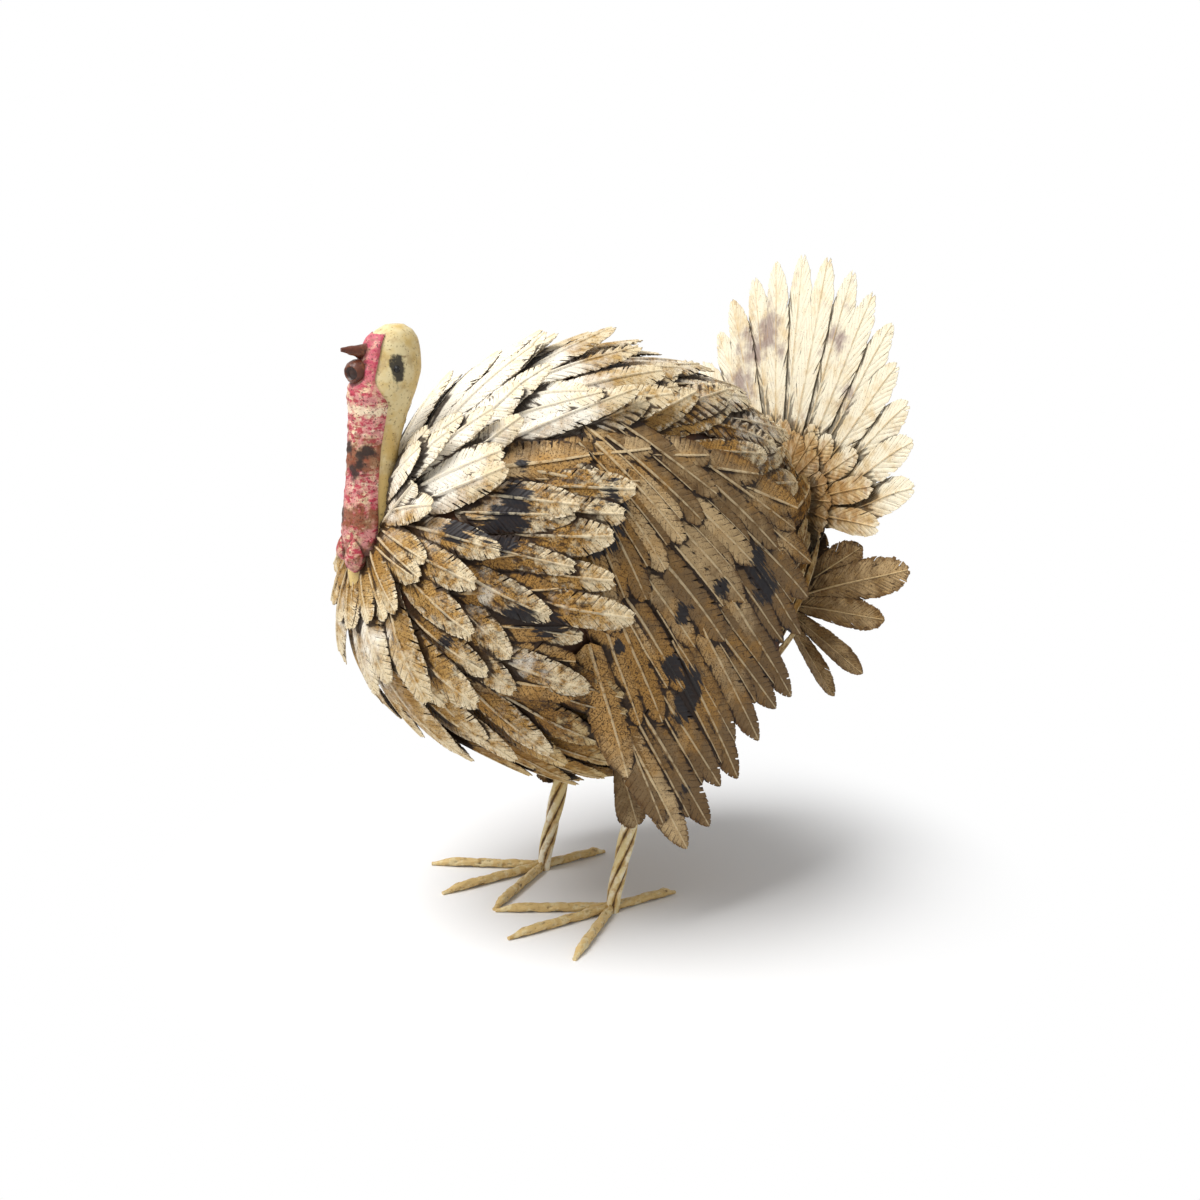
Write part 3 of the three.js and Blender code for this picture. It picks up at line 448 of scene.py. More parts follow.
# Brown enamel, smoother and glossier than the feathers, almost black in the knob's recess
BEAK_PAINT = PaintedSteel(
    "brown enamel on steel", "5a2c1a",
    (
        Layer("7a4a2c", 6, 0.50, 0.66, strength=0.7),
        Layer("2a120c", 4, 0.56, 0.68, strength=0.7),
        Layer("1c0f0a", 4, 0.70, 0.90, Mark.DARK, 0.60, 0.85),
    ),
    roughness=0.42, coat=0.1,
)
# A glossy black bead that catches one highlight
EYE_PAINT = PaintedSteel("black enamel on steel", "0d0b0a", (Layer("2a1c12", 3, 0.55, 0.7, strength=0.6),),
                         roughness=0.25)
# Gold ochre enamel, pale on the bars and brown in the grooves between them, so the twist reads as pale and
# dark stripes; its big white patches are partly painted light that brightens the legs
LEG_PAINT = PaintedSteel(
    "gold ochre enamel on twisted bar", "e4cf96",
    (
        # Paler enamel in patches, and painted light that brightens the legs
        Layer("fbf4de", 22, 0.42, 0.62, strength=0.9),
        Layer("b98c3c", 9, 0.56, 0.70, strength=0.6),
        Layer("b58c45", 9, 0.54, 0.86, Mark.GROOVE, 0.60, 0.85),
        Layer("4f330f", 12, 0.80, 1.06, Mark.GROOVE, 0.60, 0.95),
    ),
    roughness=0.42, pit_depth=0.15,
)
# The same enamel over hammered rod, so the toes look rough and unevenly gold, and darker towards the
# underside as painted shade
TOE_PAINT = PaintedSteel(
    "gold ochre enamel on forged rod", "d6b87c",
    (
        Layer("e2d2a4", 9, 0.48, 0.62, strength=0.75),
        Layer("9a7230", 7, 0.54, 0.68, strength=0.6),
        Layer("5c3d1c", 5, 0.80, 1.15, Mark.GROOVE, 0.60, 0.8),
    ),
    roughness=0.48, pit_depth=0.5, pit_grain=2.2,
)
# Dull dark primer, so the shell reads as shadow between the feathers
SHELL_PAINT = PaintedSteel(
    "rust brown primer on steel", "4a2c18",
    (
        Layer("2a1810", 20, 0.48, 0.62, strength=0.9),
        Layer("7a4a26", 6, 0.58, 0.66, strength=0.6),
    ),
    roughness=0.7, pit_depth=0.25,
)


@dataclass(frozen=True)
class Stain:
    """A place where one mark is strong, on both sides of the figure or on the left only."""

    mark: Mark
    both: bool
    place: tuple[float, ...]
    radius: float
    amount: float


def stains(mark: Mark, both: bool, *spots: tuple[float, ...]) -> list[Stain]:
    """Stains of one mark, each given by its place, radius and amount."""
    return [Stain(mark, both, spot[:3], spot[3], spot[4]) for spot in spots]


STAINS = [
    *stains(Mark.DARK, True,
            (-130, -105, 430, 24, 1), (-180, -84, 405, 17, 1), (-150, -108, 398, 26, 1),
            (-145, -122, 337, 18, 1), (-115, -134, 326, 24, 1), (-193, -88, 308, 14, 1),
            (-170, -101, 288, 13, 1), (-57, -95, 484, 20, 0.7), (-117, -92, 462, 12, 0.7),
            (48, -110, 468, 22, 0.7), (-54, -130, 432, 26, 1), (-62, -140, 395, 24, 0.9),
            (-81, -138, 391, 13, 1), (0, -150, 272, 17, 1), (27, -149, 250, 22, 1),
            (18, -148, 224, 17, 1), (114, -137, 322, 24, 1), (145, -120, 268, 25, 1),
            (168, -108, 216, 26, 1), (11, -153, 320, 16, 1), (55, -150, 335, 18, 1),
            (98, -141, 355, 20, 1), (-54, -147, 297, 12, 1), (26, -142, 145, 14, 0.8),
            (148, -115, 399, 20, 1)),
    *stains(Mark.DARK, False,
            (274, 65, 525, 32, 1), (265, 92, 462, 30, 0.9), (275, -50, 533, 24, 0.7),
            (272, -74, 478, 22, 0.4)),
    *stains(Mark.OCHRE, True,
            (186, -85, 415, 68, 1.3), (190, -98, 362, 45, 1), (120, -60, 470, 70, 0.9),
            (-110, -118, 400, 80, 0.7), (-170, -90, 350, 70, 0.7), (30, -140, 250, 70, 0.7),
            (238, 0, 372, 60, 1.2), (-60, -142, 250, 60, 0.9), (-110, -110, 250, 90, 0.6),
            (-60, -120, 430, 60, 0.6), (160, -70, 430, 50, 1)),
    *stains(Mark.OCHRE, False, (278, 110, 545, 46, 0.6), (255, -122, 382, 40, 0.5)),
    # Whiter paint, and painted light where the light falls most: on the top and front of the body and on the
    # rump
    *stains(Mark.WHITE, True,
            (-175, -40, 462, 55, 1), (-120, -10, 505, 55, 1), (-60, -40, 522, 46, 0.9),
            (-60, -90, 488, 34, 0.6), (-236, -25, 305, 30, 0.35), (-228, 0, 250, 40, 0.2),
            (140, -55, 455, 60, 0.4), (-165, -100, 345, 26, 0.45), (-140, -120, 290, 26, 0.4),
            (70, -20, 508, 60, 0.3), (-232, -40, 300, 34, 0.15)),
    # Painted shade: darker low on the wing and belly and at the wing's rear, away from the light
    *stains(Mark.TONE, True, (165, -110, 265, 85, 1), (70, -145, 175, 70, 0.7), (-90, -70, 180, 70, 0.5)),
]


def washes(points: np.ndarray, tone: float) -> np.ndarray:
    """Amounts of ochre, dark, white with painted light, and tone with painted shade at points on the figure.

    Args:
        points: Places in the ankles' frame.
        tone: The feather's own tone, which is the same all over it.

    Returns:
        Four numbers for each point.
    """
    out = np.zeros((len(points), 4))
    out[:, 3] = tone
    channels = [Mark.OCHRE, Mark.DARK, Mark.WHITE, Mark.TONE]
    for stain in STAINS:
        for side in (-1, 1) if stain.both else (-1,):
            centre = np.array(stain.place) * (1, -side, 1) + (0 if side < 0 else FAR_SIDE_SHIFT, 0, 0)
            far = np.linalg.norm(points - centre, axis=1) / stain.radius
            out[:, channels.index(stain.mark)] += stain.amount * np.exp(-far ** 2)
    return np.clip(out, 0, 1.2)


# Mesh helpers

PIECES: list[bpy.types.Object] = []
VALUE_KEYS = {"FLOAT": "value", "FLOAT_VECTOR": "vector", "FLOAT_COLOR": "color"}


def select_only(piece: bpy.types.Object | None = None) -> None:
    """Selects one object and makes it active, or selects nothing."""
    bpy.ops.object.select_all(action="DESELECT")
    if piece:
        bpy.context.view_layer.objects.active = piece
        piece.select_set(True)


def get_values(data: bpy.types.bpy_prop_collection, key: str, width: int, kind: type = float) -> np.ndarray:
    """Reads one property of each element of a mesh, as rows.

    Args:
        data: The elements.
        key: The property's name.
        width: Numbers in one element's property.
        kind: Type of the numbers.

    Returns:
        A row for each element.
    """
    values = np.empty(len(data) * width, kind)
    data.foreach_get(key, values)
    return values.reshape(-1, width)


def set_attribute(mesh: bpy.types.Mesh, name: str, kind: str, values: np.ndarray) -> None:
    """Gives a mesh an attribute, with a value or a row of values for each point."""
    data = mesh.attributes.new(name, kind, "POINT").data
    data.foreach_set(VALUE_KEYS[kind], values.astype(np.float32).ravel())


def finish_piece(piece: bpy.types.Object, paint: bpy.types.Material, node: str) -> None:
    """Smooths, paints and fastens one piece to the frame.

    Args:
        piece: The finished mesh object, at the origin.
        paint: Its material.
        node: The CAD node that it stands for.
    """
    select_only(piece)
    bpy.ops.object.shade_smooth_by_angle(angle=ANGLE_SMOOTH)
    piece.data.materials.clear()
    piece.data.materials.append(paint)
    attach(piece, "root")
    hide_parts(node)
    PIECES.append(piece)
    LOG.info("%s: %d faces", piece.name, len(piece.data.polygons))


def mesh_piece(name: str, points: np.ndarray, faces: list, mark: np.ndarray | None = None,
               wash: np.ndarray | None = None, flat: np.ndarray | None = None) -> bpy.types.Object:
    """Makes an object with its attributes, and selects it.

    Args:
        name: The piece's name.
        points: Places in the ankles' frame.
        faces: Point numbers of each face.
        mark: Groove, shaft, edge and along for each point.
        wash: Ochre, dark, white and tone for each point.
        flat: Place on the flat feather for each point.

    Returns:
        The object, at the origin.
    """
    mesh = bpy.data.meshes.new(name)
    mesh.from_pydata(((points + (SHIFT, 0, 0)) * MM).tolist(), [], faces)
    for label, values in (("mark", mark), ("wash", wash)):
        if values is not None:
            set_attribute(mesh, label, "FLOAT_COLOR", values)
    if flat is not None:
        corner = get_values(mesh.loops, "vertex_index", 1, np.int32)[:, 0]
        mesh.uv_layers.new(name="feather").data.foreach_set("uv", flat[corner].astype(np.float32).ravel())
    mesh.update()
    piece = bpy.data.objects.new(name, mesh)
    bpy.context.scene.collection.objects.link(piece)
    select_only(piece)
    return piece


def tube_piece(name: str, rings: np.ndarray, mark: np.ndarray | None = None,
               wash: np.ndarray | None = None) -> bpy.types.Object:
    """Skins stacked rings of points and closes both ends.

    Args:
        name: The piece's name.
        rings: Places by ring, point of the ring and axis.
        mark: Four marks for each point.
        wash: Four washes for each point.

    Returns:
        The closed object, with its faces outwards.
    """
    count, sides = rings.shape[:2]
    first = np.arange(sides)
    following = (first + 1) % sides
    faces = []
    for r in range(count - 1):
        low, high = r * sides, (r + 1) * sides
        faces += np.stack([first + low, following + low, following + high, first + high], axis=-1).tolist()
    last, ends = (count - 1) * sides, count * sides
    for k in range(sides):
        faces += [[k, int(following[k]), ends], [last + int(following[k]), last + k, ends + 1]]
    points = np.concatenate([rings.reshape(-1, 3), rings[[0, -1]].mean(axis=1)])
    extra = [None if values is None else np.concatenate([values, values[[0, -1]]]) for values in (mark, wash)]
    piece = mesh_piece(name, points, faces, *extra)
    bpy.ops.object.mode_set(mode="EDIT")
    bpy.ops.mesh.select_all(action="SELECT")
    bpy.ops.mesh.normals_make_consistent(inside=False)
    bpy.ops.object.mode_set(mode="OBJECT")
    return piece


def bumps(points: np.ndarray, grain: float, seed: float) -> np.ndarray:
    """Smooth noise from about -1 to 1.

    Args:
        points: Where it is read.
        grain: Size of its patches.
        seed: Moves it to another part of the noise.

    Returns:
        A number for each point.
    """
    shift = Vector((seed, 0, 0))
    values = [noise.noise(Vector(point) / grain + shift) for point in points.reshape(-1, 3)]
    return np.array(values).reshape(points.shape[:-1]) * 1.6


def apply_modifier(piece: bpy.types.Object, kind: str, **settings) -> None:
    """Adds a modifier to the active piece and applies it.

    Args:
        piece: The active object.
        kind: The modifier's type.
        settings: The modifier's own properties.
    """
    modifier = piece.modifiers.new(kind.title(), kind)
    for name, value in settings.items():
        setattr(modifier, name, value)
    bpy.ops.object.modifier_apply(modifier=modifier.name)


# Feathers

@dataclass(frozen=True)
class Blade:
    """One pressed feather lying flat: points across, along and up, with its faces and attributes."""

    points: np.ndarray
    faces: np.ndarray
    mark: np.ndarray
    flat: np.ndarray
    length: float
    width: float

    def scaled(self, length: float, width: float) -> tuple[np.ndarray, np.ndarray]:
        """Distances across and along of its points at another length and width."""
        return self.points[:, 0] * width / self.width, self.points[:, 1] * length / self.length


@dataclass(frozen=True)
class FeatherPressing:
    """Die and snips of one kind of feather."""

    length: float
    width: float
    outline: tuple[tuple[float, float], ...]
    barb: float = 6.0  # from one barb to the next along the shaft
    barb_scatter: float = 0.12  # of a barb
    barb_shares: tuple[float, ...] = (1.0, 0.84, 0.62, 0.32, 0.0)  # a barb's points, from its end inwards
    sweep: float = 0.9  # how far a barb runs towards the tip over its width
    shaft: float = 1.7  # half width
    shaft_height: float = 1.9
    shaft_taper: float = 0.55  # how much thinner it is at the tip
    shoulder: float = 0.55  # place of the shaft's shoulders, of its half width
    shoulder_height: float = 0.78
    groove: float = 0.35  # depth of the line between two barbs
    groove_share: float = 0.13  # half width of that line, of a barb
    cup: float = 2.2  # how far the edges lie under the shaft
    slit_share: float = 0.35  # of the barb lines, those that are cut open at the edge
    deep_share: float = 0.45  # of the slits, those that are twice as deep
    tooth: float = 0.9  # notch at each barb line in the edge
    edge_scatter: float = 0.025
    least_edge: float = 0.35
    dent: float = 0.12  # unevenness of the edge, up and down
    crimp: float = 0.0  # height of the waves of a crimped feather
    crimp_pitch: float = 9.0
    gauge: float = 0.8
    bend: float = 3.0  # sideways bow of the shaft
    root_run: float = 0.0  # how far the barbs start before the root, under the feathers before it

    def half_width(self, v: np.ndarray) -> np.ndarray:
        """Half width of the feather, 0 past its tip.

        Args:
            v: Shares of the length.

        Returns:
            A half width for each share.
        """
        table = np.array(self.outline)
        fine = np.linspace(0, 1, 60)
        rough = np.interp(fine, table[:, 0], table[:, 1])
        kernel = np.array([1, 2, 3, 2, 1]) / 9
        even = np.convolve(np.pad(rough, 2, mode="edge"), kernel, mode="valid")
        even[-1] = table[-1, 1]
        return np.where(v > 1, 0.0, np.interp(v, fine, even)) * self.width / 2

    def reach(self, start: np.ndarray) -> np.ndarray:
        """How far out each barb meets the outline.

        Args:
            start: Where the barbs leave the shaft.

        Returns:
            A distance aside for each barb.
        """
        low, high = np.zeros_like(start), np.full_like(start, self.width)
        for _ in range(24):
            middle = (low + high) / 2
            inside = self.half_width((start + middle * self.sweep) / self.length) >= middle
            low, high = np.where(inside, middle, low), np.where(inside, high, middle)
        return np.maximum(low, 0.5)

    def barb_rows(self, random: np.random.Generator) -> tuple[np.ndarray, np.ndarray]:
        """Places the rows of points: one at the root, and three over each line between two barbs.

        Args:
            random: The random order.

        Returns:
            Where each row leaves the shaft, and True for the bottom of a line.
        """
        starts, in_line = [-self.root_run], [False]
        half = self.groove_share * self.barb
        for k in range(1, int((self.length + self.root_run - 1.5) / self.barb) + 1):
            at = k * self.barb - self.root_run + random.normal(0, self.barb_scatter * self.barb)
            starts += [at - half, at, at + half]
            in_line += [False, True, False]
        limited = np.minimum(np.array(starts), self.length - 0.8)
        return np.maximum.accumulate(limited + np.arange(len(starts)) * 1e-3), np.array(in_line)

    def spread(self, base: np.ndarray, edge: np.ndarray) -> np.ndarray:
        """Places the points of each row from the left edge, over the shaft, to the right edge.

        Args:
            base: Half width of the shaft in each row.
            edge: Reach of the left and right barb in each row.

        Returns:
            Distances across, by row and column.
        """
        left, right = (base[:, None] + (side - base)[:, None] * np.array(self.barb_shares) for side in edge)
        shoulder = self.shoulder * base[:, None]
        return np.concatenate([-left, -shoulder, 0 * shoulder, shoulder, right[:, ::-1]], axis=1)

    def slits(self, lines: int, columns: int, random: np.random.Generator) -> set[tuple[int, int]]:
        """Chooses the barb lines that are cut open.

        Args:
            lines: Number of lines between barbs.
            columns: Points in a row.
            random: The random order.

        Returns:
            Row and column of each face to snip out.
        """
        cuts = set()
        for k in range(1, lines + 1):
            for column, step in ((0, 1), (columns - 2, -1)):
                if random.random() < self.slit_share and 2 < k < lines:
                    for j in range(1 + int(random.random() < self.deep_share)):
                        cuts |= {(3 * k - 2, column + j * step), (3 * k - 1, column + j * step)}
        return cuts

    def press(self, seed: int) -> Blade:
        """Presses, cuts and thickens one feather.

        Args:
            seed: Number of the random order of its cuts.

        Returns:
            The flat feather.
        """
        random = np.random.default_rng(seed)
        starts, in_line = self.barb_rows(random)
        edge = self.reach(starts) * (1 + random.normal(0, self.edge_scatter, (2, len(starts))))
        edge = np.maximum(edge - np.where(in_line, self.tooth, 0.0), self.least_edge)
        taper = 1 - self.shaft_taper * np.maximum(starts, 0) / self.length
        base = np.minimum(self.shaft * taper, edge.min(axis=0) * 0.5)
        across = self.spread(base, edge)
        out = np.abs(across)
        beyond = np.maximum(out - base[:, None], 0)
        along = starts[:, None] + beyond * self.sweep
        share = out / np.maximum(edge.max(axis=0)[:, None], 1e-3)
        on_shaft = out < base[:, None] * 0.8
        ridge = np.where(out < 1e-6, 1.0, np.where(on_shaft, self.shoulder_height, 0.0))
        height = self.shaft_height * taper[:, None] * ridge - self.cup * (out / (self.width / 2)) ** 2
        in_groove = in_line[:, None] & (beyond > 1e-6)
        height -= np.where(in_groove, self.groove, 0)
        if self.crimp:
            wave = np.sin(2 * np.pi * starts / self.crimp_pitch + random.uniform(0, 6))[:, None]
            height += self.crimp * wave * np.clip(beyond / (self.width / 5), 0, 1)
        v = along / self.length
        across = across + (self.bend * random.normal(0, 0.6)) * np.maximum(v, 0) ** 2
        height += random.normal(0, self.dent, height.shape) * (share > 0.7)
        mark = np.stack([in_groove, on_shaft, np.clip(share, 0, 1), np.clip(v, 0, 1)], axis=-1)
        rows = np.broadcast_to(starts[:, None] / self.barb, across.shape)
        flat = np.stack([across / SHEET_MM[0], rows, np.zeros_like(across)], axis=-1)
        cuts = self.slits(int(in_line.sum()), across.shape[1], random)
        return self.make(np.stack([across, along, height], axis=-1), mark, flat, cuts)

    def make(self, points: np.ndarray, mark: np.ndarray, flat: np.ndarray,
             cuts: set[tuple[int, int]]) -> Blade:
        """Shapes a grid into the feather, snips the slits and gives the sheet its gauge.

        Args:
            points: Places of the grid's points by row from the root, column and axis.
            mark: The points' marks.
            flat: The points' places on the flat feather.
            cuts: Row and column of each face to snip out.

        Returns:
            The flat feather with its thickness.
        """
        rows, columns = points.shape[:2]
        select_only()
        bpy.ops.mesh.primitive_grid_add(x_subdivisions=columns - 1, y_subdivisions=rows - 1, size=2)
        piece = bpy.context.object
        mesh = piece.data
        before = get_values(mesh.vertices, "co", 3)
        rank = np.empty(len(before), int)
        rank[np.lexsort((before[:, 0], before[:, 1]))] = np.arange(len(before))
        mesh.vertices.foreach_set("co", points.reshape(-1, 3)[rank].ravel())
        set_attribute(mesh, "mark", "FLOAT_COLOR", mark.reshape(-1, 4)[rank])
        set_attribute(mesh, "flat", "FLOAT_VECTOR", flat.reshape(-1, 3)[rank])
        bpy.ops.object.mode_set(mode="EDIT")
        bpy.ops.mesh.select_mode(type="FACE")
        bpy.ops.mesh.select_all(action="DESELECT")
        bpy.ops.object.mode_set(mode="OBJECT")
        for face in mesh.polygons:
            face.select = divmod(min(rank[i] for i in face.vertices), columns) in cuts
        if cuts:
            bpy.ops.object.mode_set(mode="EDIT")
            bpy.ops.mesh.delete(type="FACE")
            bpy.ops.object.mode_set(mode="OBJECT")
        apply_modifier(piece, "SOLIDIFY", thickness=self.gauge, offset=-1.0)
        faces = np.array([list(face.vertices) for face in mesh.polygons])
        marks = get_values(mesh.attributes["mark"].data, "color", 4)
        sheet = get_values(mesh.attributes["flat"].data, "vector", 3)[:, :2]
        blade = Blade(get_values(mesh.vertices, "co", 3), faces, marks, sheet, self.length, self.width)
        bpy.data.objects.remove(piece)
        bpy.data.meshes.remove(mesh)
        return blade

    @cache
    def stock(self, variants: int, seed: int) -> list[Blade]:
        """Presses a stock of unlike feathers, once."""
        return [self.press(seed * 100 + k) for k in range(variants)]


@dataclass
class Bundle:
    """Feathers of one piece, gathered in a random order before they are made one mesh."""

    random: np.random.Generator | None = None
    points: list[np.ndarray] = field(default_factory=list)
    faces: list[np.ndarray] = field(default_factory=list)
    mark: list[np.ndarray] = field(default_factory=list)
    wash: list[np.ndarray] = field(default_factory=list)
    flat: list[np.ndarray] = field(default_factory=list)
    count: int = 0

    def pick(self, blades: list[Blade]) -> Blade:
        """One feather out of a stock."""
        return blades[int(self.random.integers(len(blades)))]

    def add(self, blade: Blade, points: np.ndarray, tone: float | None = None) -> None:
        """Adds one feather, with its faces outwards.

        Args:
            blade: The pressed feather.
            points: Its points where it is welded.
            tone: Its own tone, a random one if None.
        """
        tone = self.random.random() if tone is None else tone
        centred = points - points.mean(axis=0)
        volume = 0.0
        for corners in ((0, 1, 2), (0, 2, 3)):
            a, b, c = centred[blade.faces[:, corners]].transpose(1, 0, 2)
            volume += (a * np.cross(b, c)).sum()
        faces = blade.faces if volume > 0 else blade.faces[:, ::-1]
        self.points.append(points)
        self.faces.append(faces + self.count)
        self.mark.append(blade.mark)
        self.wash.append(washes(points, tone))
        self.flat.append(blade.flat + (SHEET_SHIFT * tone, 0))
        self.count += len(points)

    def finish(self, node: str, paint: bpy.types.Material, slot: str) -> None:
        """Makes the feathers one dressed piece.

        Args:
            node: The CAD node that it stands for.
            paint: Its material.
            slot: Name of its material slot; not used.
        """
        parts = (self.points, self.faces, self.mark, self.wash, self.flat)
        points, faces, *attributes = map(np.concatenate, parts)
        finish_piece(mesh_piece(node + "_pressed", points, faces.tolist(), *attributes), paint, node)


@dataclass
class OverlapShade:
    """Painted shade, with dark wax, where pieces lie over one another, found on a grid of small cells."""

    cell: float = 2.6
    margin: float = 20.0  # of the grid round the figure
    blurs: int = 2
    reach: float = 4.6  # over a piece where its cover is read
    low: float = 0.15
    high: float = 0.40
    spots: tuple[tuple[float, float, float], ...] = (
        (0.33, 0.33, 0.34), (0.8, 0.1, 0.1), (0.1, 0.8, 0.1), (0.1, 0.1, 0.8), (0.45, 0.45, 0.1),
        (0.1, 0.45, 0.45), (0.45, 0.1, 0.45))  # places in a triangle that fill their cells

    def read(self, piece: bpy.types.Object) -> tuple[np.ndarray, np.ndarray, np.ndarray]:
        """Reads the shape of one piece.

        Args:
            piece: The piece.

        Returns:
            Its points, their outward directions and its triangles.
        """
        mesh = piece.data
        mesh.calc_loop_triangles()
        return (get_values(mesh.vertices, "co", 3) / MM, get_values(mesh.vertex_normals, "vector", 3),
                get_values(mesh.loop_triangles, "vertices", 3, np.int32))

    def lay(self, pieces: list[bpy.types.Object]) -> None:
        """Writes how shut in each point is as the attribute "shut" of each piece, which the paints turn into
        painted shade and dark wax.

        Args:
            pieces: All the pieces that cover one another.
        """
        start = np.array(CAD_BOX[0]) / MM - self.margin
        size = np.ceil((np.array(CAD_BOX[1]) / MM + self.margin - start) / self.cell).astype(int)
        full = np.zeros(size, np.float32)
        read = [self.read(piece) for piece in pieces]
        for points, _, corners in read:
            for spot in self.spots:
                places = sum(points[corners[:, k]] * spot[k] for k in range(3))
                cells = np.clip(((places - start) / self.cell).astype(int), 0, size - 1)
                full[tuple(cells.T)] = 1
        for axis in np.repeat(range(3), self.blurs):
            full = (np.roll(full, 1, axis) + 2 * full + np.roll(full, -1, axis)) / 4
        for piece, (points, ways, _) in zip(pieces, read):
            place = np.clip((points + ways * self.reach - start) / self.cell - 0.5, 0, size - 2.001)
            base = place.astype(int)
            value = np.zeros(len(points))
            for corner in np.ndindex(2, 2, 2):
                weight = np.prod(np.where(np.array(corner) == 1, place - base, 1 - (place - base)), axis=1)
                value += weight * full[tuple((base + corner).T)]
            set_attribute(piece.data, "shut", "FLOAT", smooth(self.low, self.high, value))


ROUND_TIP = ((0, 0.8), (0.2, 0.9), (0.42, 1), (0.6, 0.98), (0.75, 0.87), (0.86, 0.68), (0.95, 0.42), (1, 0.1))
LONG_TIP = ((0, 0.7), (0.1, 0.85), (0.3, 0.96), (0.58, 1), (0.76, 0.9), (0.87, 0.7), (0.95, 0.42), (1, 0.08))
LANCE_TIP = ((0, 0.42), (0.25, 0.6), (0.5, 0.84), (0.72, 1), (0.86, 0.88), (0.95, 0.56), (1, 0.12))
PADDLE_TIP = ((0, 0.36), (0.3, 0.64), (0.6, 0.96), (0.8, 1), (0.92, 0.72), (0.97, 0.45), (1, 0.12))

BODY_PRESSING = FeatherPressing(95, 32, ROUND_TIP, shaft=2.4, shaft_height=2.5, cup=3.0, root_run=12)
CRIMPED_PRESSING = replace(BODY_PRESSING, width=34, shaft_height=2.4, cup=2.6, barb=4.6, crimp=1.4,
                           slit_share=0.2)
COVERT_PRESSING = FeatherPressing(102, 32, LONG_TIP, barb=7.0, cup=4.8, shaft=2.2, shaft_height=2.2,
                                  slit_share=0.3, root_run=10)
SECONDARY_PRESSING = replace(COVERT_PRESSING, length=128, width=33, barb=8.0)
PRIMARY_PRESSING = replace(SECONDARY_PRESSING, length=168, width=34, tooth=1.0)
FAN_PRESSING = FeatherPressing(200, 35, LANCE_TIP, barb=12.0, sweep=2.6, cup=1.2, slit_share=0.22, bend=1.0)
FAN_SHORT_PRESSING = replace(FAN_PRESSING, length=90, width=30, barb=7.0, sweep=1.4, cup=0.8, slit_share=0.3)
PADDLE_PRESSING = FeatherPressing(140, 42, PADDLE_TIP, sweep=1.1, cup=1.5, slit_share=0.15, bend=2.0)
THIGH_PRESSING = replace(PADDLE_PRESSING, length=78, width=36, sweep=1.0, cup=1.2, slit_share=0.1, bend=1.0)


# Surfaces that the feathers are welded to

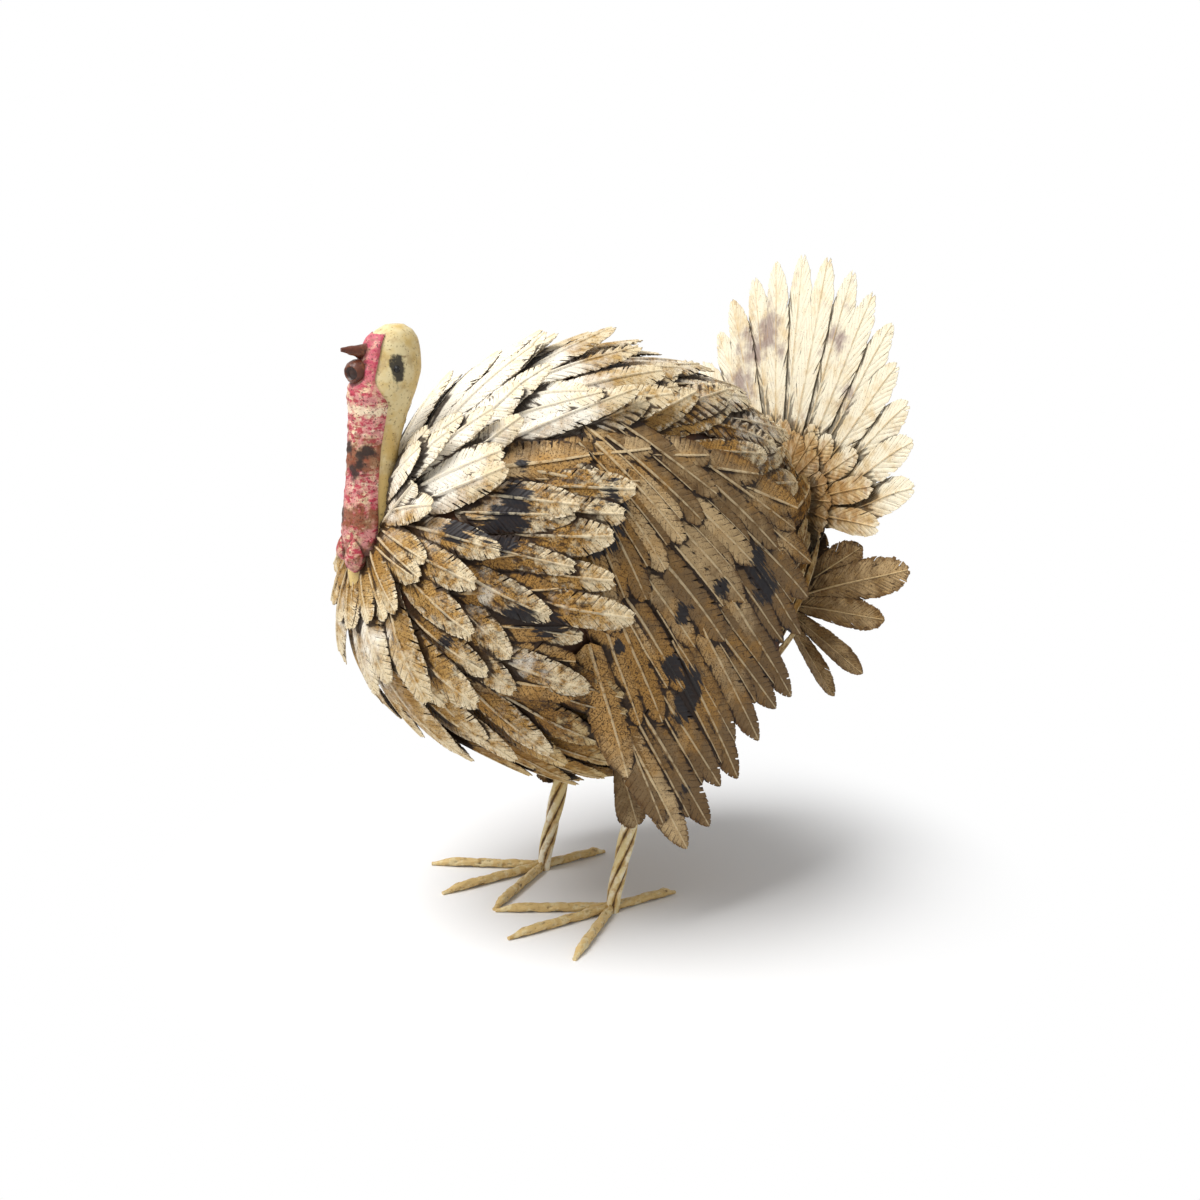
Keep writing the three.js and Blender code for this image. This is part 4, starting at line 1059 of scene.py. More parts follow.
@dataclass(frozen=True)
class EggBody:
    """Egg-shaped shell: the feather rows run round a pole at the foot of the neck."""

    centre_z: float = 333.0
    front: float = 231.0
    rear: float = 246.0
    half_width: float = 146.0
    half_height: float = 195.0
    front_rise: float = 0.34
    rear_rise: float = 0.19
    tuck: float = 0.1
    tuck_end: float = 0.6
    back_pitch: float = 0.0894  # from row to row, of the distance from pole to pole
    belly_pitch: float = 0.0722
    side_pitch: float = 0.0056  # how much less it is at the sides
    least_radius: float = 14.0  # round the poles, where a feather's width is bent no tighter

    def point(self, theta: Numbers, phi: Numbers, lift: Numbers = 0.0) -> np.ndarray:
        """Places on the shell.

        Args:
            theta: Angle from the front pole.
            phi: Angle round the figure from the back, towards +Y.
            lift: Distance over the shell.

        Returns:
            Points.
        """
        theta, phi, lift = np.broadcast_arrays(theta, phi, lift)
        c, s = np.cos(theta), np.sin(theta)
        rise = np.where(c > 0, self.front_rise, self.rear_rise) * c * c
        way = np.stack([-c, s * np.sin(phi), s * np.cos(phi) + rise], axis=-1)
        way /= np.linalg.norm(way, axis=-1, keepdims=True)
        length = np.where(way[..., 0] < 0, self.front, self.rear)
        width, height = np.full_like(length, self.half_width), np.full_like(length, self.half_height)
        size = np.stack([length, width, height], axis=-1)
        normal = way / size
        normal /= np.linalg.norm(normal, axis=-1, keepdims=True)
        point = way * size
        low = (point[..., 0] < 0) & (point[..., 2] < 0)
        tucked = point[..., 2] * (1 - self.tuck * smooth(0, self.tuck_end, -point[..., 0] / self.front))
        point[..., 2] = self.centre_z + np.where(low, tucked, point[..., 2])
        return point + normal * lift[..., None]

    def meridian(self, phi: float) -> tuple[np.ndarray, np.ndarray]:
        """Measures one meridian.

        Args:
            phi: Angle round the figure.

        Returns:
            Angles and distances from the front pole.
        """
        theta = np.linspace(0, math.pi, 181)
        steps = np.linalg.norm(np.diff(self.point(theta, phi), axis=0), axis=1)
        return theta, np.concatenate([[0], np.cumsum(steps)])

    def place(self, phi: float, distance: float, lift: float = 0.0) -> np.ndarray:
        """Place over the shell on one meridian.

        Args:
            phi: Angle round the figure.
            distance: How far it is from the front pole.
            lift: Distance over the shell.

        Returns:
            The point.
        """
        theta, distances = self.meridian(phi)
        return self.point(np.interp(distance, distances, theta), phi, lift)

    def pitch(self, phi: float) -> float:
        """Distance from one feather row to the next on a meridian.

        Args:
            phi: Angle round the figure.

        Returns:
            The distance.
        """
        pitch = self.back_pitch + (self.belly_pitch - self.back_pitch) * (1 - math.cos(phi)) / 2
        return (pitch - self.side_pitch * math.sin(phi) ** 2) * self.meridian(phi)[1][-1]

    def lay(self, blade: Blade, phi: float, distance: float, yaw: float, lift: float, slope: float,
            length: float, width: float, curl: float, over: float = 0.0) -> np.ndarray:
        """Bends a feather over the shell.

        Args:
            blade: The pressed feather.
            phi: Where its root is, round the figure.
            distance: Where its root is, from the front pole.
            yaw: Turn off the meridian.
            lift: Height of its root over the shell.
            slope: Rise over its length.
            length: Its length.
            width: Its width.
            curl: How far the tip turns up.
            over: How far the tip is raised over the wing.

        Returns:
            Its points.
        """
        a, b = blade.scaled(length, width)
        v = np.clip(b / length, 0, 1)
        run = distance + b * math.cos(yaw) - a * math.sin(yaw)
        aside = a * math.cos(yaw) + b * math.sin(yaw)
        theta, distances = self.meridian(phi)
        at = np.interp(run, distances, theta)
        step = 1e-3
        radius = np.linalg.norm(self.point(at, phi + step) - self.point(at, phi), axis=1) / step
        rise = lift + slope * b + blade.points[:, 2] + curl * v ** 3 + over * smooth(0.1, 0.6, v)
        return self.point(at, phi + aside / np.maximum(radius, self.least_radius), rise)


BODY = EggBody()


@dataclass(frozen=True)
class WingSide:
    """Side of the body that a wing lies along."""

    side: int
    rear_run: float = 74.0  # how much longer it is than the body at the rear
    straight_share: float = 0.22  # how far under the middle it runs straight down, of the half height
    tuck_radius: float = 1500.0
    seat: float = 1.9
    least_inside: float = 0.04  # keeps its edge off the middle plane

    def half_width(self, x: np.ndarray, z: np.ndarray) -> np.ndarray:
        """Distance of the wing's surface from the middle plane.

        Args:
            x: Places along the figure.
            z: Heights.

        Returns:
            A distance for each place.
        """
        length = np.where(x < 0, BODY.front, BODY.rear + self.rear_run)
        straight = BODY.centre_z - BODY.half_height * self.straight_share
        height = (np.maximum(z, straight) - BODY.centre_z) / BODY.half_height
        inside = np.maximum(1 - (x / length) ** 2 - height ** 2, self.least_inside)
        below = np.maximum(0, straight - z)
        return BODY.half_width * np.sqrt(inside) + self.seat - below ** 2 / (2 * self.tuck_radius)

    def lay(self, blade: Blade, tip: tuple[float, float], slant: float, length: float, width: float,
            lift: float, slope: float, roll: float = 0.0) -> np.ndarray:
        """Bends a feather along the wing.

        Args:
            blade: The pressed feather.
            tip: Place along the figure and height of its tip.
            slant: Angle from straight down, towards the tail.
            length: Its length.
            width: Its width.
            lift: Height of the root over the wing's plate.
            slope: How much higher the tip is.
            roll: How much higher its rear edge is, against half its width.

        Returns:
            Its points.
        """
        a, b = blade.scaled(length, width)
        b = b - length
        x = tip[0] + b * math.sin(slant) + a * math.cos(slant)
        z = tip[1] - b * math.cos(slant) + a * math.sin(slant)
        y = self.half_width(x, z) + lift + slope * (b / length + 1) + blade.points[:, 2] + roll * a
        return np.stack([x, self.side * y, z], axis=-1)


# Body plumage

@dataclass(frozen=True)
class RowKind:
    """Feather length over row pitch, and a feather's rise over its length."""

    length_share: float
    slope: float


BREAST_ROW, BODY_ROW, HIND_ROW = RowKind(1.9, 0.22), RowKind(1.9, 0.15), RowKind(1.55, 0.1)


@dataclass(frozen=True)
class WingCover:
    """Part of the body that lies under a wing."""

    front: float = -92.0
    rear: float = 188.0
    inside: float = 60.0  # nearer to the middle plane no wing lies over the body
    bottom: float = 200.0
    top_at: tuple[float, ...] = (-96, -77, -20, 60, 130, 190)
    top: tuple[float, ...] = (380, 440, 462, 448, 415, 350)

    def holds(self, point: np.ndarray) -> bool:
        """Whether a place on the body is under the front or top of a wing.

        Args:
            point: The place.

        Returns:
            True if it is.
        """
        x, y, z = point
        beside = self.front < x < self.rear and abs(y) > self.inside
        return beside and self.bottom < z < np.interp(x, self.top_at, self.top)


@dataclass
class Collar:
    """Short feathers round the foot of the neck, longer at the back."""

    first: float = 8.0
    step: float = 15.0
    distance: float = 20.0
    lift: float = 1.5
    slope: float = 0.16
    length: float = 56.0
    width: float = 26.0
    front_more: tuple[float, float] = (12.0, 3.0)  # distance and lift that the front adds
    back_more: tuple[float, float] = (6.0, 14.0)  # distance and length that the back adds

    def lay(self, blades: list[Blade], bundle: Bundle) -> None:
        """Lays the feathers.

        Args:
            blades: The feathers to choose from.
            bundle: Where they are gathered.
        """
        random = bundle.random
        for k, angle in enumerate(np.arange(self.first, 360, self.step)):
            phi = math.radians(angle + random.normal(0, 3))
            front, back = max(0.0, -math.cos(phi)), max(0.0, math.cos(phi))
            blade = bundle.pick(blades)
            yaw = math.radians(random.normal(0, 10))
            distance = self.distance + self.front_more[0] * front + self.back_more[0] * back
            lift = self.lift + self.front_more[1] * front + 1.5 * (k % 2)
            slope = self.slope + 0.2 * back
            length = self.length + random.normal(0, 6) + self.back_more[1] * back
            curl = random.uniform(0, 2 + 3 * back)
            points = BODY.lay(blade, phi, distance, yaw, lift, slope, length, self.width, curl)
            bundle.add(blade, points)


@dataclass
class Plumage:
    """Rows of single pressed feathers that cover the shell."""

    full_rows: int = 3
    back_reach: tuple[float, ...] = (46, 46, 48, 54, 63, 78)
    belly_reach: tuple[float, ...] = (72, 68, 66, 66, 64, 64, 108, 84)
    first_row: float = 48.0
    spacing: float = 27.5
    width: float = 32.0
    root_lift: float = 0.6
    second_lift: float = 1.5  # how much higher every second feather lies
    place_scatter: float = 0.12  # of the distance to the next feather
    row_scatter: float = 0.14  # of the distance to the next row
    length_scatter: float = 0.1
    width_scatter: float = 0.13
    yaw_scatter: float = 11.0  # degrees
    front_curl: tuple[float, float] = (1.0, 11.0)
    rear_curl: tuple[float, float] = (-1.0, 5.0)
    over_wing: float = 5.5  # how much higher a tip lies that overlaps the wing
    covered_from: float = -58.0  # from here to covered_to the wing alone covers the shell
    covered_to: float = 128.0
    cover: WingCover = WingCover()
    seed: int = 11

    def row(self, row: int, kind: RowKind, start: float, end: float, blades: list[Blade],
            bundle: Bundle) -> None:
        """Lays one row of feathers between two angles round the figure.

        Args:
            row: Number of the row.
            kind: How long its feathers are and how far they stand off.
            start: First angle in degrees.
            end: Last angle in degrees.
            blades: The feathers to choose from.
            bundle: Where they are gathered.
        """
        random = bundle.random
        angles = np.radians(np.linspace(start, end, 73))
        middle = []
        for phi in angles:
            along = 0.48 * kind.length_share * BODY.pitch(phi)
            distance = self.first_row + (row - 1) * BODY.pitch(phi) + along
            middle.append(BODY.place(phi, distance, kind.slope * along))
        steps = np.linalg.norm(np.diff(np.array(middle), axis=0), axis=1)
        runs = np.concatenate([[0], np.cumsum(steps)])
        count = max(3, round(runs[-1] / self.spacing))
        for k in range(count):
            share = (k + 0.5 + random.normal(0, self.place_scatter)) / count
            phi = float(np.interp(share * runs[-1], runs, angles))
            pitch = BODY.pitch(phi)
            distance = self.first_row + (row - 1) * pitch + random.normal(0, self.row_scatter) * pitch
            length = kind.length_share * pitch * (1 + random.normal(0, self.length_scatter))
            width = self.width * (1 + random.normal(0, self.width_scatter))
            tip, half_way = (BODY.place(phi, distance + part * length) for part in (0.8, 0.4))
            covered = self.cover.holds(half_way)
            tucked = covered and half_way[0] > self.covered_to
            if covered and half_way[0] > self.covered_from and not tucked:
                continue
            over = self.over_wing if self.cover.holds(tip) and not tucked else 0.0
            blade = bundle.pick(blades)
            lift = self.root_lift + self.second_lift * (k % 2) + random.uniform(0, 0.5)
            if row <= self.full_rows + 1:
                curl = random.uniform(*self.front_curl) * (0.15 + 0.42 * (1 + math.cos(phi)))
            else:
                curl = random.uniform(*self.rear_curl)
            slope = kind.slope * random.uniform(0.75, 1.15 - 0.2 * max(0.0, -math.cos(phi)))
            if tucked:
                slope, curl = 0.4 * slope, 0.0
            yaw = math.radians(random.normal(0, self.yaw_scatter))
            points = BODY.lay(blade, phi, distance, yaw, lift, slope, length, width, curl, over)
            bundle.add(blade, points)

    def build(self, cream: bpy.types.Material, ochre: bpy.types.Material) -> None:
        """Builds every row, dressed.

        Args:
            cream: Paint of the upper feathers.
            ochre: Paint of the belly's.
        """
        plain = BODY_PRESSING.stock(10, 1)
        crimped = CRIMPED_PRESSING.stock(6, 2) + plain[:4]
        random = np.random.default_rng(self.seed)
        for row in range(1, self.full_rows + 1):
            bundle = Bundle(random)
            self.row(row, BREAST_ROW, 0, 360, plain, bundle)
            if row == 1:
                Collar().lay(plain, bundle)
            bundle.finish(f"breast_feathers_row_{row}", cream, "body_feather_cream")
        for part, middle, reaches, blades, paint, slot in (
                ("back", 0, self.back_reach, crimped, cream, "body_feather_cream"),
                ("belly", 180, self.belly_reach, plain, ochre, "belly_feather_ochre")):
            for row, reach in enumerate(reaches, self.full_rows + 1):
                bundle = Bundle(random)
                kind = HIND_ROW if row == self.full_rows + len(reaches) else BODY_ROW
                self.row(row, kind, middle - reach, middle + reach, blades, bundle)
                bundle.finish(f"{part}_feathers_row_{row}", paint, slot)


# Wings

@dataclass(frozen=True)
class Tier:
    """One tier of wing feathers: tips as shares along and down the wing, slants in degrees."""

    node: str
    pressing: FeatherPressing
    width: float
    under_back: float  # how far a feather between two others is drawn back
    tips: tuple[tuple[float, float], ...]
    slants: tuple[float, ...]


TIERS = (
    Tier("wing_primaries", PRIMARY_PRESSING, 31, 32,
         ((0.2, 0.86), (0.287, 0.955), (0.355, 0.911), (0.374, 0.805), (0.45, 0.8), (0.505, 0.722),
          (0.56, 0.64), (0.63, 0.62), (0.65, 0.47), (0.672, 0.38), (0.675, 0.29)),
         (26, 31, 32, 32, 32, 35, 38, 40, 43, 46, 50)),
    Tier("wing_secondaries", SECONDARY_PRESSING, 31, 24,
         ((0.09, 0.708), (0.192, 0.595), (0.25, 0.521), (0.366, 0.421), (0.416, 0.326), (0.46, 0.25),
          (0.54, 0.21), (0.61, 0.19)),
         (17, 28, 34, 40, 43, 46, 49, 53)),
    Tier("wing_coverts", COVERT_PRESSING, 30, 20,
         ((0.04, 0.36), (0.118, 0.295), (0.184, 0.229), (0.237, 0.176), (0.305, 0.126), (0.36, 0.08)),
         (13, 21.8, 29.7, 35.6, 43, 49)),
)

# Tips of the body feathers over a wing's front edge, and their slants in degrees
SHOULDER_TIPS = (
    ((0, 463), 90), ((-60, 464), 96), ((-22, 440), 86), ((-75, 420), 93), ((-96, 390), 95),
    ((-104, 356), 92), ((-100, 322), 88), ((-94, 290), 84), ((-84, 262), 80), ((60, 452), 84),
    ((115, 428), 76), ((160, 392), 66),
)


@dataclass
class Wing:
    """Folded wing of one side: three tiers of long feathers, and shoulder feathers over its front."""

    name: str
    side: int
    shoulder: tuple[float, float] = (-77.0, 443.96)
    length: float = 380.0
    roll: float = 0.15
    lift: float = 2.2
    tier_lift: float = 2.8
    upper_lift: float = 1.9  # of each feather over those between
    rise: float = 2.5
    slant_scatter: float = 1.6
    tip_scatter: float = 3.0
    width_scatter: float = 0.06
    shoulder_size: tuple[float, float] = (84.0, 32.0)
    shoulder_lift: float = 5.0
    shoulder_rise: float = 8.0

    def fill(self, tier: Tier, layer: int, bundle: Bundle) -> None:
        """Lays the long feathers of one tier, with one more between every two.

        Args:
            tier: The tier.
            layer: Its number from the plate out.
            bundle: Where the feathers are gathered.
        """
        random = bundle.random
        blades = tier.pressing.stock(4, 10 + layer)
        surface = WingSide(self.side)
        for half in range(2 * len(tier.tips) - 1):
            k, between = divmod(half, 2)
            tip, slant = np.array(tier.tips[k]), tier.slants[k]
            if between:
                tip, slant = (tip + tier.tips[k + 1]) / 2, (slant + tier.slants[k + 1]) / 2
            angle = math.radians(slant + random.normal(0, self.slant_scatter))
            back = tier.under_back * between + random.normal(0, self.tip_scatter)
            place = (self.shoulder[0] + tip[0] * self.length - back * math.sin(angle),
                     self.shoulder[1] - tip[1] * self.length + back * math.cos(angle))
            lift = self.lift + layer * self.tier_lift + self.upper_lift * (1 - between) + 0.5 * (k % 2)
            blade = bundle.pick(blades)
            width = tier.width * (1 + self.width_scatter * random.normal())
            length = tier.pressing.length
            points = surface.lay(blade, place, angle, length, width, lift, self.rise, self.roll)
            bundle.add(blade, points)

    def build(self, paint: bpy.types.Material) -> None:
        """Builds the three tiers, dressed.

        Args:
            paint: Paint of all the wing's feathers.
        """
        for layer, tier in enumerate(TIERS):
            bundle = Bundle(np.random.default_rng(40 + layer * 2 + (self.side > 0)))
            self.fill(tier, layer, bundle)
            if tier is TIERS[-1]:
                shoulder = BODY_PRESSING.stock(5, 30)
                for k, (tip, slant) in enumerate(SHOULDER_TIPS):
                    blade, lift = shoulder[k % len(shoulder)], self.shoulder_lift + 0.8 * (k % 2)
                    points = WingSide(self.side).lay(blade, tip, math.radians(slant), *self.shoulder_size,
                                                     lift, self.shoulder_rise)
                    bundle.add(blade, points)
            bundle.finish(f"{tier.node}_{self.name}", paint, "wing_beige")


# Tail

@dataclass
class Tail:
    """Raised fan of lance feathers, short coverts in front of it and drooping paddles under it."""

    hub: tuple[float, float, float] = (252.0, 0.0, 370.05)
    lean: float = 8.0
    root: float = 30.0
    reach: float = 246.0
    width: float = 36.0
    lift: float = 1.4
    layer_lift: float = 2.7  # of the front layer over the back one
    angles: tuple[float, ...] = (5, 14, 23.5, 33, 43, 54, 65, 78)
    reaches: tuple[float, ...] = (1, 0.98, 0.955, 0.915, 0.846, 0.813, 0.793, 0.772)
    bow: float = 34.0  # degrees that an outer blade turns up between its root and tip
    covert_angles: tuple[float, ...] = (28, 44, 60, 76, 92)
    covert_reaches: tuple[float, ...] = (0.36, 0.40, 0.50, 0.57, 0.62)
    covert_width: float = 27.0
    covert_lift: float = 6.2
    covert_bow: float = 8.0
    rosette_angles: tuple[float, ...] = tuple(range(6, 130, 13))  # short feathers round the hub
    rosette_reach: float = 76.0
    rosette_width: float = 28.0
    rosette_root: float = 6.0
    rosette_lift: float = 8.4
    low_foot: tuple[float, float, float] = (240.0, 14.0, 262.0)
    low_angles: tuple[float, ...] = (34, 53, 67, 85, 112, 134)
    low_reaches: tuple[float, ...] = (100, 132, 180, 140, 125, 113)
    low_widths: tuple[float, ...] = (36, 36, 40, 31, 26, 24)
    low_lift: float = 0.8
    low_step: float = 1.2
    low_bow: float = -6.0
    low_yaw: float = 0.12  # how far a low feather runs back for its distance aside

    def lay(self, blade: Blade, angle: float, side: int, lift: float, reach: float, width: float,
            root: float, bow: float = 0.0, lean: float | None = None,
            foot: tuple[float, float, float] | None = None) -> np.ndarray:
        """Turns a feather to its angle in the fan.

        Args:
            blade: The pressed feather.
            angle: Degrees from the top.
            side: -1 for the left, 1 for the right.
            lift: How far it lies in front of the fan's plane.
            reach: Distance of the tip from the hub.
            width: Its width.
            root: Distance of the root from the hub.
            bow: Degrees that it turns up from its root to its tip.
            lean: Degrees that its plane leans back, the fan's if None.
            foot: Place that it spreads from on the right, the hub if None.

        Returns:
            Its points.
        """
        across, along = blade.scaled(reach - root, width)
        along = root + along
        v = np.clip(blade.points[:, 1] / blade.length, 0, 1)
        turn = side * np.radians(angle + bow * (1 - v) ** 2)
        tilt = math.radians(self.lean if lean is None else lean)
        x = -(lift + blade.points[:, 2])
        y = across * np.cos(turn) + along * np.sin(turn)
        z = -across * np.sin(turn) + along * np.cos(turn)
        tipped = [x * math.cos(tilt) + z * math.sin(tilt), y, -x * math.sin(tilt) + z * math.cos(tilt)]
        return np.stack(tipped, axis=-1) + np.array(foot or self.hub) * (1, side, 1)

    def fan(self, layer: int, side: int, random: np.random.Generator) -> Bundle:
        """Lays every other feather of one side's fan.

        Args:
            layer: 0 for the front, 1 for the back.
            side: -1 for the left, 1 for the right.
            random: The random order.

        Returns:
            The feathers.
        """
        blades, bundle = FAN_PRESSING.stock(6, 20), Bundle(random)
        lift = self.lift + (1 - layer) * self.layer_lift
        for i, (angle, share) in enumerate(zip(self.angles, self.reaches)):
            if (i + layer + (side > 0)) % 2 == 0:
                blade = bundle.pick(blades)
                bow = self.bow * angle / self.angles[-1]
                points = self.lay(blade, angle, side, lift, self.reach * share, self.width, self.root, bow)
                bundle.add(blade, points)
        return bundle

    def coverts(self, side: int, random: np.random.Generator) -> Bundle:
        """Lays one side's short feathers in front of the fan and round its hub.

        Args:
            side: -1 for the left, 1 for the right.
            random: The random order.

        Returns:
            The feathers.
        """
        blades, bundle = FAN_SHORT_PRESSING.stock(4, 21), Bundle(random)
        for i, (angle, share) in enumerate(zip(self.covert_angles, self.covert_reaches)):
            blade, lift = blades[i % len(blades)], self.covert_lift + 0.8 * (i % 2)
            points = self.lay(blade, angle, side, lift, self.reach * share, self.covert_width, self.root,
                              self.covert_bow)
            bundle.add(blade, points)
        for i, angle in enumerate(self.rosette_angles):
            blade, lift = blades[i % len(blades)], self.rosette_lift + 0.9 * (i % 2)
            reach = self.rosette_reach + random.normal(0, 5)
            points = self.lay(blade, angle, side, lift, reach, self.rosette_width, self.rosette_root)
            bundle.add(blade, points)
        return bundle

    def low(self, side: int, random: np.random.Generator) -> Bundle:
        """Lays one side's drooping paddles.

        Args:
            side: -1 for the left, 1 for the right.
            random: The random order.

        Returns:
            The feathers.
        """
        blades, bundle = PADDLE_PRESSING.stock(4, 22), Bundle(random)
        for i, (angle, reach, width) in enumerate(zip(self.low_angles, self.low_reaches, self.low_widths)):
            blade, lift = blades[i % len(blades)], self.low_lift + self.low_step * i
            points = self.lay(blade, angle, side, lift, reach, width, 0.0, self.low_bow, 0.0, self.low_foot)
            points[:, 0] += self.low_yaw * np.abs(points[:, 1])
            bundle.add(blade, points)
        return bundle

    def build(self, white: bpy.types.Material, ochre: bpy.types.Material) -> None:
        """Builds all the tail's feathers, dressed.

        Args:
            white: Paint of the fan.
            ochre: Paint of the low feathers.
        """
        for name, side in SIDES.items():
            random = np.random.default_rng(60 + side)
            for layer, label in enumerate(("front", "back")):
                self.fan(layer, side, random).finish(f"tail_fan_{label}_{name}", white, "fan_white")
            self.coverts(side, random).finish(f"tail_coverts_{name}", white, "fan_white")
            self.low(side, random).finish(f"tail_low_feathers_{name}", ochre, "low_tail_ochre")


# Head and neck

@dataclass
class HeadAndNeck:
    """Drawn steel neck and head, with the knobbly face and throat laid over its front."""

    foot_x: float = -221.0
    foot_z: float = 340.0
    height: float = 234.0
    lean: float = 31.5
    half_depth: float = 30.0
    half_width: float = 23.0
    shares: tuple[tuple[float, float, float, float], ...] = (
        (0, 0, 0.62, 0.7), (0.15, 0.03, 0.65, 0.74), (0.22, 0.13, 0.8, 0.83), (0.285, 0.17, 0.82, 0.85),
        (0.355, 0.17, 0.74, 0.78), (0.44, 0.22, 0.71, 0.75), (0.55, 0.31, 0.73, 0.77),
        (0.615, 0.41, 0.79, 0.8), (0.685, 0.51, 0.87, 0.87), (0.748, 0.6, 1, 1), (0.825, 0.81, 0.98, 0.98),
        (0.89, 0.9, 0.88, 0.87), (0.94, 0.95, 0.77, 0.76), (0.972, 0.98, 0.57, 0.57), (0.992, 1, 0.3, 0.3)
    )  # heights, and shares of the lean, half depth and half width there
    rings: int = 72
    sides: int = 48
    eye_height: float = 0.84  # share of the neck's height
    eye_angle: float = math.radians(81)
    eye_patch: float = 9.0  # radius of the dark paint round an eye
    ochre_heights: tuple[float, float] = (520.0, 400.0)  # where the neck's ochre starts and is full
    red_heights: tuple[float, float] = (505.0, 535.0)  # where the face's deeper red starts and is full
    face_from: float = 0.15
    face_to: float = 0.965
    throat_spread: float = 80.0  # degrees from the middle to the sheet's edge
    face_spread: float = 45.0
    face_rows: int = 110
    face_columns: int = 44
    face_seat: float = 1.3
    face_sheet: float = 1.4
    knob_grain: float = 7.5
    knob_height: float = 1.5
    knob_share: float = 0.55
    ochre_bands: tuple[tuple[float, float, float], ...] = ((461, 14, 1.0), (409, 9, 0.8), (373, 18, 0.6))
    white_bands: tuple[tuple[float, float, float], ...] = (
        (502, 6, 1.0), (484, 9, 0.5), (438, 11, 0.5), (366, 8, 0.8))
    dark_spots: tuple[tuple[float, float, float, float], ...] = (
        (-228, -16, 466, 11), (-236, -8, 450, 10), (-242, 8, 410, 12), (-240, 2, 470, 9))
    beak_height: float = 0.885
    beak_length: float = 35.0
    beak_root: tuple[float, float] = (8.0, 10.5)  # half width and half height
    beak_tip: float = 0.16  # of the root's size
    beak_drop: float = 2.0  # how far its upper edge hooks down
    knob_at: float = 0.829
    knob_radius: float = 10.8
    recess: float = 3.2
    recess_edge: tuple[float, float] = (6.4, 4.6)  # radii at the knob's face and at the recess's floor
    recess_place: tuple[float, float] = (-3.5, -0.5)
    wattle_radius: float = 9.3
    wattle_length: float = 34.0
    wattle_top: float = 54.0
    wattle_waist: float = 0.37  # where it is thickest, of its length from the lower end

    def section(self, t: np.ndarray) -> tuple[np.ndarray, np.ndarray, np.ndarray, np.ndarray]:
        """Measures the neck's cross sections.

        Args:
            t: Shares of the height.

        Returns:
            Places of the centres along the figure, their heights, and half sizes in depth and width.
        """
        table = np.array(self.shares)
        fine = np.linspace(0, 0.992, 200)
        kernel = np.hanning(13)[1:-1]
        kernel /= kernel.sum()
        blend = smooth(0.93, 0.96, fine)
        columns = []
        for c in (1, 2, 3):
            rough = np.interp(fine, table[:, 0], table[:, c])
            even = np.convolve(np.pad(rough, 5, mode="edge"), kernel, mode="valid")
            columns.append(np.interp(t, fine, even * (1 - blend) + rough * blend))
        return (self.foot_x + self.lean * columns[0], self.foot_z + self.height * t,
                self.half_depth * columns[1], self.half_width * columns[2])

    def point(self, t: Numbers, angle: Numbers = 0.0, offset: Numbers = 0.0) -> np.ndarray:
        """Places on or over the neck.

        Args:
            t: Shares of its height.
            angle: Angles from the front.
            offset: Distances over it.

        Returns:
            Points.
        """
        x, z, depth, width = self.section(t)
        place = [x - (depth + offset) * np.cos(angle), (width + offset) * np.sin(angle), z + 0 * angle]
        return np.stack(place, axis=-1)

    def build_neck(self, paint: bpy.types.Material) -> None:
        """Builds the drawn neck with a rounded crown and dark patches round the eyes.

        Args:
            paint: Its material.
        """
        t = np.concatenate([np.linspace(-0.05, 0.93, self.rings - 12), np.linspace(0.94, 0.992, 12)])
        grid = self.point(t[:, None], around(self.sides)[None, :])
        points = grid.reshape(-1, 3)
        wash = np.zeros((len(points), 4))
        eye = self.point(self.eye_height, -self.eye_angle)
        for sign in (1, -1):
            far = np.linalg.norm((points - eye * (1, sign, 1)) * (1, 1, 0.6), axis=1)
            wash[:, 1] += np.exp(-(far / self.eye_patch) ** 2)
        wash[:, 0] = smooth(*self.ochre_heights, points[:, 2]) + smooth(-200, -180, points[:, 0]) * 0.4
        piece = tube_piece("head_and_nape_drawn", grid, None, wash)
        finish_piece(piece, paint, "head_and_nape")

    def face_wash(self, points: np.ndarray) -> np.ndarray:
        """Bands of ochre and white down the throat, dark spots, and redder paint on the face.

        Args:
            points: Places on the sheet.

        Returns:
            Ochre, dark, white and tone for each place.
        """
        wash = np.zeros((len(points), 4))
        z = points[:, 2]
        for channel, bands in ((0, self.ochre_bands), (2, self.white_bands)):
            for height, reach, amount in bands:
                wash[:, channel] += amount * np.exp(-((z - height) / reach) ** 2)
        for *place, radius in self.dark_spots:
            wash[:, 1] += np.exp(-(np.linalg.norm(points - place, axis=1) / radius) ** 2)
        wash[:, 3] = smooth(*self.red_heights, z)
        return wash

